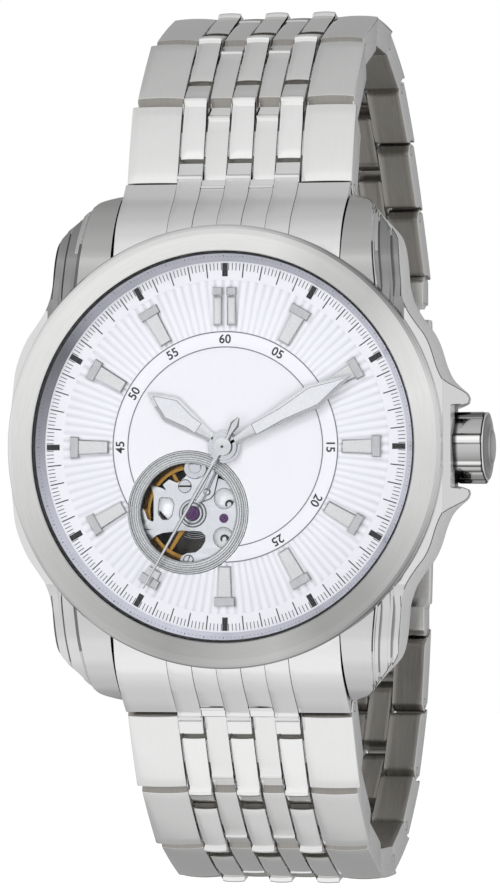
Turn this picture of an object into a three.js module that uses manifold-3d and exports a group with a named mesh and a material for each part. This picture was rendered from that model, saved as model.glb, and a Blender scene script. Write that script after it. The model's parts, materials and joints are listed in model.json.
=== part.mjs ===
// Automatic wristwatch with an open-heart dial on a seven-column steel bracelet.
//
// The watch is modelled in its own frame, in millimetres: x towards 3 o'clock,
// y towards 12 o'clock, z out of the dial, with z = 0 on the outer face of the
// case back. The whole group is then turned so that 12 o'clock points up (+Z)
// and the dial faces -Y. The origin is the centre of the case back's outer face.
import * as THREE from 'three';
import { mergeVertices } from 'three/addons/utils/BufferGeometryUtils.js';
import Module from 'manifold-3d';

const wasm = await Module();
wasm.setup();

// ---------------------------------------------------------- shared dimensions
const Z_DIAL = 9.5;              // visible face of the dial
const MOVEMENT_R = 14.4;
const APERTURE = [-3.6, -6.2];   // open-heart aperture, at 7 o'clock
const STEM_AXIS = [0, 5.2];      // (y, z) of the line along x
const SPRING_BAR = [21.6, 3.4];  // (y, z) of the bar at 12 o'clock

// ------------------------------------------------------------------ finishes
// bare metal unless metalness says otherwise
const FINISH = {
  midCase: { color: 0xc9cbcd, roughness: 0.25 },
  bezel: { color: 0xc6c6c6, roughness: 0.35 },
  glass: { color: 0xffffff, roughness: 0.02, metalness: 0 },
  rubber: { color: 0x151515, roughness: 0.6, metalness: 0 },
  rehaut: { color: 0xb9b9c4, roughness: 0.3 },
  dial: { color: 0xe9ebf1, roughness: 0.4, metalness: 0.2 },
  apertureRing: { color: 0xd2d4d6, roughness: 0.3 },
  hand: { color: 0xd8dadc, roughness: 0.2 },
  brass: { color: 0xc9a24a, roughness: 0.3 },
  barrel: { color: 0xc9a24a, roughness: 0.35 },
  greySteel: { color: 0xb8babd, roughness: 0.3 },
  escapeWheel: { color: 0xb8babd, roughness: 0.25 },
  fork: { color: 0xbfc1c4, roughness: 0.2 },
  balance: { color: 0xcfa64e, roughness: 0.25 },
  hairspring: { color: 0x8f98a8, roughness: 0.3 },
  cock: { color: 0xc8cacc, roughness: 0.3 },
  brightSteel: { color: 0xd0d2d4, roughness: 0.2 },
  mainplate: { color: 0xb9bbbe, roughness: 0.35 },
  trainBridge: { color: 0xc4c6c9, roughness: 0.3 },
  movementRing: { color: 0x8d9095, roughness: 0.5, metalness: 0.6 },
  rotor: { color: 0xcfa95a, roughness: 0.35 },
  caseBack: { color: 0xbfc1c4, roughness: 0.3 },
  crown: { color: 0xcfd1d3, roughness: 0.2 },
  link: { color: 0xc4c6c8, roughness: 0.25 },
  endLink: { color: 0xc4c6c8, roughness: 0.2 },
  springBar: { color: 0xa8aaad, roughness: 0.3 },
  claspBlade: { color: 0xbcbec0, roughness: 0.3 },
  claspCover: { color: 0xc6c8ca, roughness: 0.3 },
};

// ------------------------------------------------------------ solids, booleans
// welds a three.js geometry into a closed manifold with outward faces
function solid(source) {
  source.deleteAttribute('normal');
  source.deleteAttribute('uv');
  const { index, attributes: { position } } = mergeVertices(source, 1e-4);
  const corner = (i) => new THREE.Vector3().fromBufferAttribute(position, i);
  const triangles = [];
  let volume = 0;
  for (let i = 0; i < index.count; i += 3) {
    const [a, b, c] = index.array.slice(i, i + 3);
    if (a === b || b === c || a === c) continue;
    triangles.push([a, b, c]);
    volume += corner(a).dot(corner(b).cross(corner(c)));
  }
  if (volume < 0) triangles.forEach((triangle) => triangle.reverse());
  return new wasm.Manifold(new wasm.Mesh({
    numProp: 3,
    vertProperties: new Float32Array(position.array),
    triVerts: new Uint32Array(triangles.flat()),
  }));
}

const union = (...parts) => parts.flat().reduce((a, b) => a.add(b));
const cut = (body, ...tools) => tools.flat().reduce((a, b) => a.subtract(b), body);
const spin = (part, degrees) => part.rotate([0, 0, degrees]);
const at = (part, [x, y]) => part.translate([x, y, 0]);

// ------------------------------------------------------- outlines and solids
const RAD = Math.PI / 180;
const polar = (radius, angle) => [radius * Math.cos(angle), radius * Math.sin(angle)];
const angleOf = ([x, y]) => Math.atan2(y, x);
// mirrored outlines run backwards, so that they continue the original
const mirrorX = (points) => points.map(([x, y]) => [-x, y]).reverse();
const mirrorY = (points) => points.map(([x, y]) => [x, -y]).reverse();

function extruded(points, from, to) {
  const shape = new THREE.Shape(points.map(([x, y]) => new THREE.Vector2(x, y)));
  const options = { depth: to - from, bevelEnabled: false };
  return new THREE.ExtrudeGeometry(shape, options).translate(0, 0, from);
}
// prism along z from an (x, y) outline
const prism = (points, z0, z1) => solid(extruded(points, z0, z1));

// prism along x from a (y, z) outline
const ALONG_X = new THREE.Matrix4().makeBasis(
  new THREE.Vector3(0, 1, 0), new THREE.Vector3(0, 0, 1), new THREE.Vector3(1, 0, 0));
const prismX = (points, x0, x1) => solid(extruded(points, x0, x1).applyMatrix4(ALONG_X));

const box = (x0, x1, y0, y1, z0, z1) => prism([[x0, y0], [x1, y0], [x1, y1], [x0, y1]], z0, z1);

// turned solid about z; profile of (radius, z)
function turned(profile, segments) {
  const points = profile.map(([radius, z]) => new THREE.Vector2(radius, z));
  if (profile[0][0] > 0) points.push(points[0].clone());
  return solid(new THREE.LatheGeometry(points, segments).rotateX(Math.PI / 2));
}
const disc = (radius, z0, z1, segments) =>
  turned([[0, z0], [radius, z0], [radius, z1], [0, z1]], segments);
const ring = (inner, outer, z0, z1, segments) =>
  turned([[inner, z0], [outer, z0], [outer, z1], [inner, z1]], segments);

// cylinder along x, with flats facing +y and -y
function rodX(radius, [y, z], x0, x1, segments = 8) {
  const points = [];
  for (let i = 0; i < segments; i++) {
    const [dy, dz] = polar(radius, (i + 0.5) * 2 * Math.PI / segments);
    points.push([y + dy, z + dz]);
  }
  return prismX(points, x0, x1);
}

// toothed wheel; the tooth or gap named by `facing` points along `angle`
function gear(teeth, module, z0, z1, angle, facing = 'tooth') {
  const pitchR = teeth * module / 2;
  const start = angle + (facing === 'gap' ? Math.PI / teeth : 0);
  const points = [];
  for (let i = 0; i < teeth; i++) {
    const tip = start + i * 2 * Math.PI / teeth;
    points.push(
      polar(pitchR + 0.75 * module, tip),
      polar(pitchR - 1.15 * module, tip + Math.PI / teeth));
  }
  return prism(points, z0, z1);
}

const group = new THREE.Group();
group.rotation.x = Math.PI / 2;

function piece(name, part, finish, parent = group) {
  const { vertProperties, triVerts } = part.getMesh();
  const surface = new THREE.BufferGeometry();
  surface.setAttribute('position', new THREE.BufferAttribute(vertProperties.slice(), 3));
  surface.setIndex(new THREE.BufferAttribute(new Uint32Array(triVerts), 1));
  const material = new THREE.MeshStandardMaterial({ metalness: 1, ...finish });
  const mesh = new THREE.Mesh(surface, material);
  mesh.name = name;
  parent.add(mesh);
  return mesh;
}

// -------------------------------------------------------------------- middle
const LUG_GAP = 22.3;
const LUG_GAP_START = 18.6;      // y where the gap between the lugs begins

// (x, y) from a lug tip down its flank
const LUG = [
  [9.5, 24.4], [12.6, 24.3], [13.6, 23.5], [14.5, 22.2], [15.6, 20.8], [16.5, 18.9],
  [16.95, 16.8], [17.15, 14.9], [17.6, 13.5], [18.5, 12.0], [19.3, 11.1], [20.0, 9.8]];
// (x, y) of the upper right quarter, lug and crown guard
const RIGHT = [...LUG,
  [20.65, 7.65], [21.3, 6.2], [22.3, 5.1], [23.1, 4.45], [23.1, 3.95], [21.3, 3.75]];
// (x, y) of the upper left quarter, from the waist to the lug
const LEFT = [[-21.2, 3.75], [-20.95, 6.2], [-20.6, 7.65], ...mirrorX(LUG)];
// (y, z) side outline of the 12 o'clock half, from the dial side to the back
const SIDE = [
  [17.8, 9.65], [19.6, 8.95], [21.4, 7.75], [22.9, 6.3], [23.9, 4.9],
  [24.35, 3.5], [24.3, 2.0], [23.6, 1.3], [20.5, 1.05]];
// (radius, z) of the room for the movement, dial and glass
const CASE_BORE = [
  [0, 0], [16.4, 0], [16.4, 2.5], [18.15, 2.5], [18.15, 9.3], [18.95, 9.3], [18.95, 12], [0, 12]];

const [barY, barZ] = SPRING_BAR;
const front = prism([...RIGHT, ...mirrorY(RIGHT), ...mirrorY(LEFT), ...LEFT], 1.05, 9.65);
piece('mid_case', cut(
  front.intersect(prismX([...SIDE, ...mirrorX(SIDE)], -24, 24)),
  box(-LUG_GAP / 2, LUG_GAP / 2, LUG_GAP_START, 26, 0, 12),
  box(-LUG_GAP / 2, LUG_GAP / 2, -26, -LUG_GAP_START, 0, 12),
  turned(CASE_BORE, 36),
  ring(16.85, 17.9, 0.5, 1.6, 24), // gasket groove
  rodX(1.9, STEM_AXIS, 17, 22),
  rodX(0.68, SPRING_BAR, -12.4, 12.4),
  rodX(0.68, [-barY, barZ], -12.4, 12.4)), FINISH.midCase);

// ------------------------------------------------------- bezel, glass, gasket
const BEZEL_R = 21.0;            // 42 mm watch
const OPENING_R = 18.5;
// (radius, z)
const BEZEL = [
  [OPENING_R, 9.75], [20.75, 9.75], [BEZEL_R, 10.0], [BEZEL_R, 10.45],
  [20.6, 10.85], [20.1, 11.05], [OPENING_R, 11.15]];
const CRYSTAL = [[0, 11.0], [10, 10.85], [17.9, 10.55], [17.9, 11.2], [10, 11.9], [0, 12.1]];
const REHAUT = [[17.6, 9.56], [18.3, 9.56], [18.3, 10.5], [17.85, 10.5]];
piece('bezel', turned(BEZEL, 44), FINISH.bezel);
piece('crystal', turned(CRYSTAL, 28), FINISH.glass);
piece('crystal_gasket', ring(18.1, 18.36, 10.56, 11.1, 28), FINISH.rubber);
piece('rehaut_ring', turned(REHAUT, 28), FINISH.rehaut);

// ---------------------------------------------------------------------- dial
const DIAL_T = 0.4;
const DIAL_R = 17.9;
const APERTURE_R = 4.67;

const marker = (points) => prism(points, Z_DIAL - 0.1, Z_DIAL + 0.3);
// a twin bar at 12 o'clock, single tapered bars elsewhere
function hourMarkers(hour) {
  if (hour === 0) {
    const twin = [[0.25, 11.5], [1.15, 11.5], [1.15, 15.2], [0.25, 15.2]];
    return [marker(mirrorX(twin)), marker(twin)];
  }
  const inner = hour === 7 ? 13.3 : 11.3; // shorter beside the aperture
  const bar = marker([[-0.62, inner], [0.62, inner], [0.95, 15.1], [-0.95, 15.1]]);
  return [spin(bar, -30 * hour)];
}
const markers = [];
for (let hour = 0; hour < 12; hour++) markers.push(...hourMarkers(hour));
piece('dial', cut(
  union(ring(0.98, DIAL_R, Z_DIAL - DIAL_T, Z_DIAL, 36), markers),
  at(disc(5.9, 8, 11, 24), APERTURE)), FINISH.dial);
piece('aperture_ring', at(ring(APERTURE_R, 5.8, 9.2, 9.58, 24), APERTURE), FINISH.apertureRing);

// --------------------------------------------------------------------- hands
// (x, y) of each hand's right edge from tail to tip, pointing at 12 o'clock;
// angle is in degrees clockwise from 12
const HANDS = {
  hour_hand: {
    edge: [[0.4, -0.2], [0.4, 1.6], [0.55, 2.4], [1.3, 6.3], [0, 9.1]],
    z0: 9.72, z1: 9.9, hubR: 1.55, holeR: 0.95, angle: 304.7,
  },
  minute_hand: {
    edge: [[0.4, -0.2], [0.4, 1.8], [0.5, 3.0], [1.2, 9.9], [0, 14.2]],
    z0: 10.12, z1: 10.28, hubR: 1.3, holeR: 0.64, angle: 61.5,
  },
  seconds_hand: {
    edge: [[0.18, -3.0], [0.45, -2.2], [0.16, -1.0], [0.16, 2], [0.05, 15.5]],
    z0: 10.55, z1: 10.66, hubR: 0.85, holeR: 0.24, angle: 209.9,
  },
};
function hand({ edge, z0, z1, hubR, holeR, angle }) {
  const outline = [...edge, ...mirrorX(edge.filter(([x]) => x !== 0))];
  const body = union(prism(outline, z0, z1), disc(hubR, z0, z1, 14));
  return spin(cut(body, disc(holeR, z0 - 1, z1 + 1, 10)), -angle);
}
for (const [name, spec] of Object.entries(HANDS)) piece(name, hand(spec), FINISH.hand);

// ---------------------------------------------------------------- gear train
// (x, y) of the arbors; the fourth and centre wheels turn about the origin
const ESCAPE = [0.9, -3.8];
const THIRD = [-2.2, 3.34];
const MINUTE_WHEEL = [1.5, 2.6];
const BARREL = [6.68, 2.7];
const toEscape = angleOf(ESCAPE);
const toThird = angleOf(THIRD);
const toMinute = angleOf(MINUTE_WHEEL);
const toBarrel = angleOf(BARREL);

// module of each meshing pair: twice the centre distance over the sum of teeth
const MODULE = {
  fourthEscape: 2 * 3.9 / (60 + 5),
  thirdFourth: 2 * 4 / (45 + 6),
  centerThird: 2 * 4 / (48 + 6),
  barrelCenter: 2 * 7.2 / (54 + 6),
  cannonMinute: 2 * 3 / (8 + 24),
  hourMinute: 2 * 3 / (24 + 6),
};

piece('fourth_wheel', union(
  gear(60, MODULE.fourthEscape, 5.7, 5.88, toEscape),
  gear(6, MODULE.thirdFourth, 5.1, 5.45, toThird, 'gap'),
  disc(0.2, 4.75, 10.75, 8),
  disc(0.32, 5.4, 5.75, 8)), FINISH.brass);
piece('center_wheel', cut(union(
  gear(48, MODULE.centerThird, 6.15, 6.33, toThird),
  gear(6, MODULE.barrelCenter, 5.93, 6.2, toBarrel),
  disc(0.55, 6.2, 7.7, 12)),
disc(0.3, 5, 8, 8)), FINISH.brass);
piece('cannon_pinion', cut(union(
  gear(8, MODULE.cannonMinute, 7.8, 8.35, toMinute),
  disc(0.6, 7.76, 10.42, 12)),
disc(0.3, 7, 11, 8)), FINISH.greySteel);
piece('hour_wheel', cut(union(
  gear(24, MODULE.hourMinute, 8.45, 8.68, toMinute, 'gap'),
  disc(0.9, 8.45, 10.0, 12)),
disc(0.68, 8, 11, 12)), FINISH.brass);
piece('minute_wheel', at(union(
  gear(24, MODULE.cannonMinute, 7.85, 8.08, toMinute + Math.PI, 'gap'),
  gear(6, MODULE.hourMinute, 8.0, 8.76, toMinute + Math.PI),
  disc(0.3, 7.66, 8.8, 8)), MINUTE_WHEEL), FINISH.brass);
piece('third_wheel', at(union(
  gear(45, MODULE.thirdFourth, 5.15, 5.33, toThird + Math.PI),
  gear(6, MODULE.centerThird, 6.08, 6.4, toThird + Math.PI, 'gap'),
  disc(0.18, 4.75, 6.5, 8)), THIRD), FINISH.brass);

const escapeTeeth = [];
for (let i = 0; i < 15; i++) {
  const angle = i * 2 * Math.PI / 15;
  escapeTeeth.push(polar(1.7, angle), polar(1.25, angle + 0.1));
}
piece('escape_wheel', at(union(
  prism(escapeTeeth, 5.15, 5.3),
  gear(5, MODULE.fourthEscape, 5.25, 6.0, toEscape + Math.PI, 'gap'),
  disc(0.14, 4.75, 6.5, 8)), ESCAPE), FINISH.escapeWheel);
piece('mainspring_barrel', at(cut(union(
  gear(54, MODULE.barrelCenter, 5.96, 6.1, toBarrel + Math.PI, 'gap'),
  disc(3.25, 4.8, 6.45, 24)),
disc(0.35, 4, 4.95, 8)), BARREL), FINISH.barrel);

// ---------------------------------------------------------------- escapement
const BALANCE = APERTURE;
const balanceToEscape = Math.atan2(ESCAPE[1] - BALANCE[1], ESCAPE[0] - BALANCE[0]);

// modelled along x about its arbor: horns at -x, pallets at +x
const LEVER = [
  [-2.1, 0.12], [-2.1, 0.3], [-1.75, 0.3], [-1.5, 0.1], [-0.2, 0.1], [-0.2, -0.1],
  [-1.5, -0.1], [-1.75, -0.3], [-2.1, -0.3], [-2.1, -0.12], [-1.8, -0.12], [-1.8, 0.12]];
const PALLETS = [
  [-0.25, -0.3], [0.1, -1.35], [0.33, -1.3], [0.18, -0.3],
  [0.18, 0.3], [0.33, 1.3], [0.1, 1.35], [-0.25, 0.3]];
const fork = union(
  prism(LEVER, 5.14, 5.32),
  prism(PALLETS, 5.14, 5.32),
  disc(0.14, 4.75, 6.0, 8));
const forkOffset = polar(3.1, balanceToEscape); // from the balance arbor
piece('pallet_fork',
  at(at(spin(fork, balanceToEscape / RAD), forkOffset), BALANCE), FINISH.fork);

const spokes = [0, 1, 2].map((i) => spin(box(-0.22, 0.22, 0, 4.1, 7.05, 7.3), i * 120 + 82));
piece('balance_wheel', at(union(
  ring(3.88, 4.55, 6.95, 7.4, 32),
  spokes,
  disc(0.5, 6.95, 7.35, 8),
  disc(0.14, 4.75, 7.85, 6),
  disc(0.42, 5.5, 5.7, 8)), BALANCE), FINISH.balance);

// flat spiral of 2.5 turns, drawn as its two edges
const SPIRAL = { steps: 30, turns: 2.5, startR: 0.42, growth: 2.0, halfWidth: 0.03 };
const spiralEdge = (offset) => Array.from({ length: SPIRAL.steps + 1 }, (_, i) => {
  const t = i / SPIRAL.steps;
  return polar(SPIRAL.startR + SPIRAL.growth * t + offset, t * SPIRAL.turns * 2 * Math.PI);
});
const coil = [...spiralEdge(SPIRAL.halfWidth), ...spiralEdge(-SPIRAL.halfWidth).reverse()];
piece('hairspring',
  at(union(prism(coil, 6.55, 6.7), ring(0.2, 0.46, 6.5, 6.75, 8)), BALANCE), FINISH.hairspring);

// ------------------------------------------------------------ plates, bridges
// cock over the balance, seen through the aperture; (x, y) from the balance arbor
const COCK = [
  [-4.9, 2.1], [-3.4, 3.5], [-1.7, 4.2], [0.9, 4.2], [2.8, 3.2], [4.15, 1.8], [4.5, -0.2],
  [4.35, -2.4], [3.2, -4.3], [1.6, -5.0], [0.4, -5.3], [-0.6, -5.3], [-0.4, -4.2], [0.9, -3.7],
  [1.2, -2.6], [0.3, -1.8], [-1.0, -1.7], [-2.6, -1.0], [-4.4, -1.2], [-5.4, -0.4], [-5.6, 1.0]];
const cockFeet = [[-4.95, 0.3], [0, -4.75]].map((foot) => at(disc(0.5, 7.62, 8.2, 8), foot));
piece('balance_cock', at(cut(
  union(prism(COCK, 7.95, 8.45), cockFeet),
  disc(0.2, 7.9, 8.0, 8), // seat of the balance pivot
  at(disc(0.5, 7, 9, 10), [3.2, 1.55]),
  at(disc(0.5, 7, 9, 10), [2.9, -2.4]),
  at(disc(0.75, 7, 9, 10), [-2.45, 0.4])), BALANCE), FINISH.cock);

const REGULATOR = [[-0.35, 1.2], [0.3, 1.2], [2.1, 3.4], [1.75, 3.75], [-0.1, 1.75]];
piece('regulator', at(prism(REGULATOR, 8.5, 8.66), BALANCE), FINISH.brightSteel);

// plate with a rim reaching towards the back; the stem bore is open to the back
const MAINPLATE = [
  [0, 6.6], [13.98, 6.6], [13.98, 4.66], [MOVEMENT_R, 4.66], [MOVEMENT_R, 7.58], [0, 7.58]];
const STEM_BORE_R = 0.75;
piece('mainplate', cut(turned(MAINPLATE, 28),
  at(disc(5.0, 6, 8, 20), BALANCE),
  disc(0.7, 6, 8, 8),
  rodX(STEM_BORE_R, STEM_AXIS, 12, 16),
  box(12.0, 16, -STEM_BORE_R, STEM_BORE_R, 4.0, STEM_AXIS[1])), FINISH.mainplate);

// two pivot seats, and two grooves along x in the back face
piece('train_bridge', cut(
  union(disc(MOVEMENT_R - 0.1, 3.8, 4.6, 28), disc(0.9, 2.55, 4.0, 12)),
  at(disc(0.3, 4.3, 5, 8), ESCAPE),
  at(disc(0.3, 4.3, 5, 8), THIRD),
  box(-14.5, -1.6, -1.0, -0.7, 3.3, 4.1),
  box(1.6, 14.5, -3.0, -2.7, 3.3, 4.1)), FINISH.trainBridge);
piece('movement_ring', cut(
  ring(14.75, 17.6, 2.75, 9.0, 28),
  rodX(STEM_BORE_R, STEM_AXIS, 13, 19)), FINISH.movementRing);

// winding rotor: half-disc on the 6 o'clock side, with a heavy rim
const ROTOR_R = 13.2;
const arc = (radius, from, to, steps) => Array.from({ length: steps + 1 }, (_, i) =>
  polar(radius, (from + (to - from) * i / steps) * RAD));
const rotorEdge = arc(ROTOR_R, 180, 360, 18);
piece('rotor', cut(union(
  prism([...rotorEdge, ...arc(2.0, 360, 180, 6)], 2.95, 3.3),
  prism([...rotorEdge, ...arc(10.6, 360, 180, 12)], 2.62, 3.55),
  disc(2.4, 2.85, 3.5, 16)),
disc(1.05, 2, 4, 10)), FINISH.rotor);

// ------------------------------------------------------------------ case back
// (radius, z)
const CASE_BACK = [
  [12.4, 0], [18.0, 0], [18.2, 0.2], [18.2, 1.0], [16.3, 1.0], [16.3, 2.3], [12.4, 2.3]];
const notches = [];
for (let i = 0; i < 6; i++) notches.push(spin(box(-1.2, 1.2, 17.2, 19, -1, 0.6), i * 60 + 30));
piece('case_back', cut(turned(CASE_BACK, 30), notches), FINISH.caseBack);
piece('case_back_crystal', disc(12.2, 0, 1.4, 30), FINISH.glass);
piece('case_back_gasket', ring(17.05, 17.6, 1.06, 1.54, 24), FINISH.rubber);

// ---------------------------------------------------------------------- crown
// modelled along z, then laid on the stem axis: z becomes x
const onStem = (part) => part.rotate([0, 90, 0]).translate([0, ...STEM_AXIS]);
const CROWN = [[0, 21.95], [3.2, 21.95], [3.2, 24.45], [2.9, 24.8], [0, 25.25]];
const ribs = [];
for (let i = 0; i < 12; i++) ribs.push(spin(at(disc(0.42, 22.15, 24.3, 6), [3.06, 0]), i * 30));
const crownShell = cut(union(turned(CROWN, 24), ribs), disc(2.2, 21, 23.3, 16));
piece('crown', onStem(cut(
  union(crownShell, disc(0.72, 22.3, 24.3, 8)),
  disc(0.48, 21, 23.9, 8))), FINISH.crown);
piece('crown_gasket', onStem(ring(1.68, 2.12, 22.4, 23.1, 16)), FINISH.rubber);
piece('crown_tube', onStem(ring(0.8, 1.6, 17.7, 22.9, 12)), FINISH.caseBack);
piece('winding_stem',
  onStem(union(disc(0.4, 11.2, 23.8, 8), disc(0.6, 11.6, 13.0, 8))), FINISH.greySteel);

// ------------------------------------------------------------------- bracelet
const PITCH = 8.1;               // pivot to pivot
const PIVOT0 = [24.7, 2.2];      // first pivot (y, z)
// link directions in degrees, from along the dial (0) to straight back (90) and on
const TOP_ANGLES = [16.11, 44.09, 69.95, 95.26, 118.26, 135.91, 143.29, 147.11];
const BOTTOM_ANGLES = [28.93, 48.06, 67.08, 90.12, 111.84, 130.45, 147.82, 165.19];
const LINK_HALF_W = [11.0, 10.65, 10.25, 9.9, 9.6, 9.4, 9.25, 9.2];
const TONGUES = [-4.75, 0, 4.75]; // centres of the narrow columns
const TONGUE_W = 2.3;
const SLOT_W = 2.55;

// link outlines are (s, n): s along the link from its pivot, n outwards
const NEAR = [[-0.45, -1.45], [-1.05, -0.5], [-1.05, 0.9], [-0.55, 1.45]];
const LINK_BODY = [...NEAR, [6.55, 1.45], [6.55, -0.4], [5.95, -1.45]];
const LINK_TONGUE = [
  [1.7, -1.2], [PITCH + 0.6, -1.2], [PITCH + 1.2, -0.6],
  [PITCH + 1.2, 0.9], [PITCH + 0.6, 1.45], [1.7, 1.45]];
const tongues = (outline) =>
  TONGUES.map((x) => prismX(outline, x - TONGUE_W / 2, x + TONGUE_W / 2));

function link(halfWidth) {
  const slots = TONGUES.map((x) => box(x - SLOT_W / 2, x + SLOT_W / 2, -2, 1.7, -2, 2));
  return union(cut(prismX(LINK_BODY, -halfWidth, halfWidth), slots), tongues(LINK_TONGUE));
}

// places the links from the case to the clasp and returns the last pivot
function chain(side, angles) {
  const isTop = side === 'top';
  let [y, z] = PIVOT0;
  angles.forEach((degrees, i) => {
    const angle = degrees * RAD;
    const mesh = piece(`link_${side}_${i + 1}`, link(LINK_HALF_W[i]), FINISH.link);
    mesh.position.set(0, isTop ? y : -y, z);
    mesh.rotation.set(isTop ? -angle : angle, 0, isTop ? 0 : Math.PI);
    y += PITCH * Math.cos(angle);
    z -= PITCH * Math.sin(angle);
  });
  return [y, z];
}
const CLASP_PIVOT = chain('top', TOP_ANGLES);
chain('bottom', BOTTOM_ANGLES);  // ends at the mirrored point

// the same part at 12 o'clock and, turned round, at 6 o'clock
function endPair(name, part, finish) {
  piece(`${name}_top`, part, finish);
  piece(`${name}_bottom`, part, finish).rotation.z = Math.PI;
}

// end links, hollow for the spring bar; body outline in (y, z)
const END_BODY = [
  [18.8, 1.4], [23.1, 1.4], [23.1, 3.75], [24.05, 4.0],
  [24.05, 4.5], [23.2, 6.05], [21.6, 7.75], [18.8, 9.1]];
// (s, n) about the first pivot, tilted towards the back
const END_TONGUE = [[-2.4, -1.0], [0.6, -1.2], [1.2, -0.6], [1.2, 0.9], [0.5, 1.6], [-1.6, 1.6]];
const END_TILT = 20 * RAD;
const tilted = ([s, n]) => [
  PIVOT0[0] + s * Math.cos(END_TILT) + n * Math.sin(END_TILT),
  PIVOT0[1] - s * Math.sin(END_TILT) + n * Math.cos(END_TILT)];
endPair('end_link', cut(
  union(prismX(END_BODY, -11.0, 11.0), tongues(END_TONGUE.map(tilted))),
  rodX(0.95, SPRING_BAR, -12, 12)), FINISH.endLink);
endPair('spring_bar', union(
  rodX(0.75, SPRING_BAR, -10.6, 10.6),
  rodX(0.5, SPRING_BAR, -12.1, 12.1)), FINISH.springBar);

// ---------------------------------------------------------------------- clasp
// (s, n) outlines: s runs from the top pivot down to the bottom one, n is outward
const LENGTH = 2 * CLASP_PIVOT[0];
const clasp = new THREE.Group();
clasp.position.set(0, ...CLASP_PIVOT);
clasp.rotation.set(Math.PI, 0, 0);
group.add(clasp);

// the clasp bows outwards by up to 1.6 at mid-length
const bowed = (s, n) => [s, n + 1.6 * (1 - ((s - LENGTH / 2) / (LENGTH / 2)) ** 2)];
function strip(s0, s1, n0, n1, steps = 4) {
  const edge = (n) => Array.from({ length: steps + 1 }, (_, i) =>
    bowed(s0 + (s1 - s0) * i / steps, n));
  return [...edge(n0), ...edge(n1).reverse()];
}
const bothSides = (build, x0, x1) => [build(x0, x1), build(-x1, -x0)];

const COVER_HINGE = bowed(3.9, 0.55);            // cover to middle blade
const BLADE_HINGE = bowed(LENGTH - 4.6, -0.85);  // middle blade to inner blade
const [coverS, coverN] = COVER_HINGE;
const [bladeS] = BLADE_HINGE;

// four wide columns that close around a link's tongues
function nearEnd(halfWidth) {
  const slotEdges = TONGUES.flatMap((x) => [x - SLOT_W / 2, x + SLOT_W / 2]);
  const edges = [-halfWidth, ...slotEdges, halfWidth];
  return union([0, 2, 4, 6].map((i) =>
    prismX([...NEAR, [1.95, 1.45], [1.95, -1.45]], edges[i], edges[i + 1])));
}

// inner blade: carries the top bracelet pivot, with a long window in its middle
const INNER_STEP = [[1.72, -1.4], [2.4, -1.4], bowed(2.4, -0.85), [1.93, 0.6], [1.72, 0.6]];
piece('clasp_inner_blade', cut(union(
  nearEnd(8.9),
  prismX(INNER_STEP, -8.9, 8.9),
  prismX(strip(1.8, bladeS - 1.0, -1.75, -0.95), -8.4, 8.4),
  prismX(strip(bladeS - 1.3, bladeS - 0.05, -1.75, -0.95, 2), -2.4, 2.4),
  rodX(0.72, BLADE_HINGE, -2.4, 2.4),
  rodX(0.36, BLADE_HINGE, -5.2, 5.2, 6)),
prismX(strip(9, 24, -3, 0, 5), -2.2, 2.2)), FINISH.claspBlade, clasp);

// middle blade: from the inner blade's far hinge back to the cover's hinge
const bladeKnuckle = (x0, x1) => cut(
  union(
    prismX(strip(bladeS - 1.2, bladeS, -0.72, 0.05, 1), x0, x1),
    rodX(0.72, BLADE_HINGE, x0, x1)),
  rodX(0.46, BLADE_HINGE, x0 - 0.5, x1 + 0.5, 6));
const MIDDLE_NECK = [
  bowed(coverS + 2.6, -0.7), bowed(coverS + 2.6, 0.05),
  [coverS + 0.3, coverN + 0.45], [coverS - 0.2, coverN], [coverS + 0.3, coverN - 0.5]];
piece('clasp_middle_blade', union(
  prismX(strip(coverS + 2.4, bladeS - 1.0, -0.75, 0.05), -5.5, 5.5),
  bothSides(bladeKnuckle, 2.6, 5.5),
  prismX(MIDDLE_NECK, -2.9, 2.9),
  rodX(0.6, COVER_HINGE, -2.9, 2.9),
  rodX(0.32, COVER_HINGE, -5.2, 5.2, 6)), FINISH.claspBlade, clasp);

// outer cover: hinged at the top, open fingers around the bottom pivot
const COVER_STEP = [
  bowed(LENGTH - 2.9, 0.32), [LENGTH - 1.9, -1.2], [LENGTH - 1.75, -1.2],
  [LENGTH - 1.75, 1.45], bowed(LENGTH - 2.9, 1.6)];
const HINGE_ROOM = [
  [coverS - 1, -2], [coverS + 2.6, -2], [coverS + 2.6, coverN + 0.15],
  [coverS + 0.6, coverN + 0.62], [coverS - 1, coverN + 0.62]];
const sideWalls = (s0, s1) =>
  bothSides((x0, x1) => prismX(strip(s0, s1, -0.75, 0.5, 3), x0, x1), 8.55, 9.2);
piece('clasp_cover', cut(union(
  prismX(strip(coverS - 0.5, LENGTH - 2.2, 0.3, 1.6, 6), -9.2, 9.2),
  bothSides((x0, x1) => rodX(0.62, COVER_HINGE, x0, x1), 3.1, 7.2),
  at(spin(nearEnd(9.0), 180), [0, LENGTH]),
  prismX(COVER_STEP, -9.0, 9.0),
  sideWalls(7, 14.4),
  sideWalls(20.4, 27.5)),
rodX(0.8, COVER_HINGE, -3.05, 3.05),
prismX(HINGE_ROOM, -3.05, 3.05),
rodX(0.42, COVER_HINGE, -5.4, 5.4, 6)), FINISH.claspCover, clasp);

const [rightButton, leftButton] = bothSides(
  (x0, x1) => prismX(strip(14.8, 20.0, -0.65, 0.22, 2), x0, x1), 7.0, 9.75);
piece('clasp_button_right', rightButton, FINISH.brightSteel, clasp);
piece('clasp_button_left', leftButton, FINISH.brightSteel, clasp);

export default group;
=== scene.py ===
import bpy, bmesh, math, json
import numpy as np
from mathutils import Matrix, Vector
from mathutils.geometry import tessellate_polygon


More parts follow.
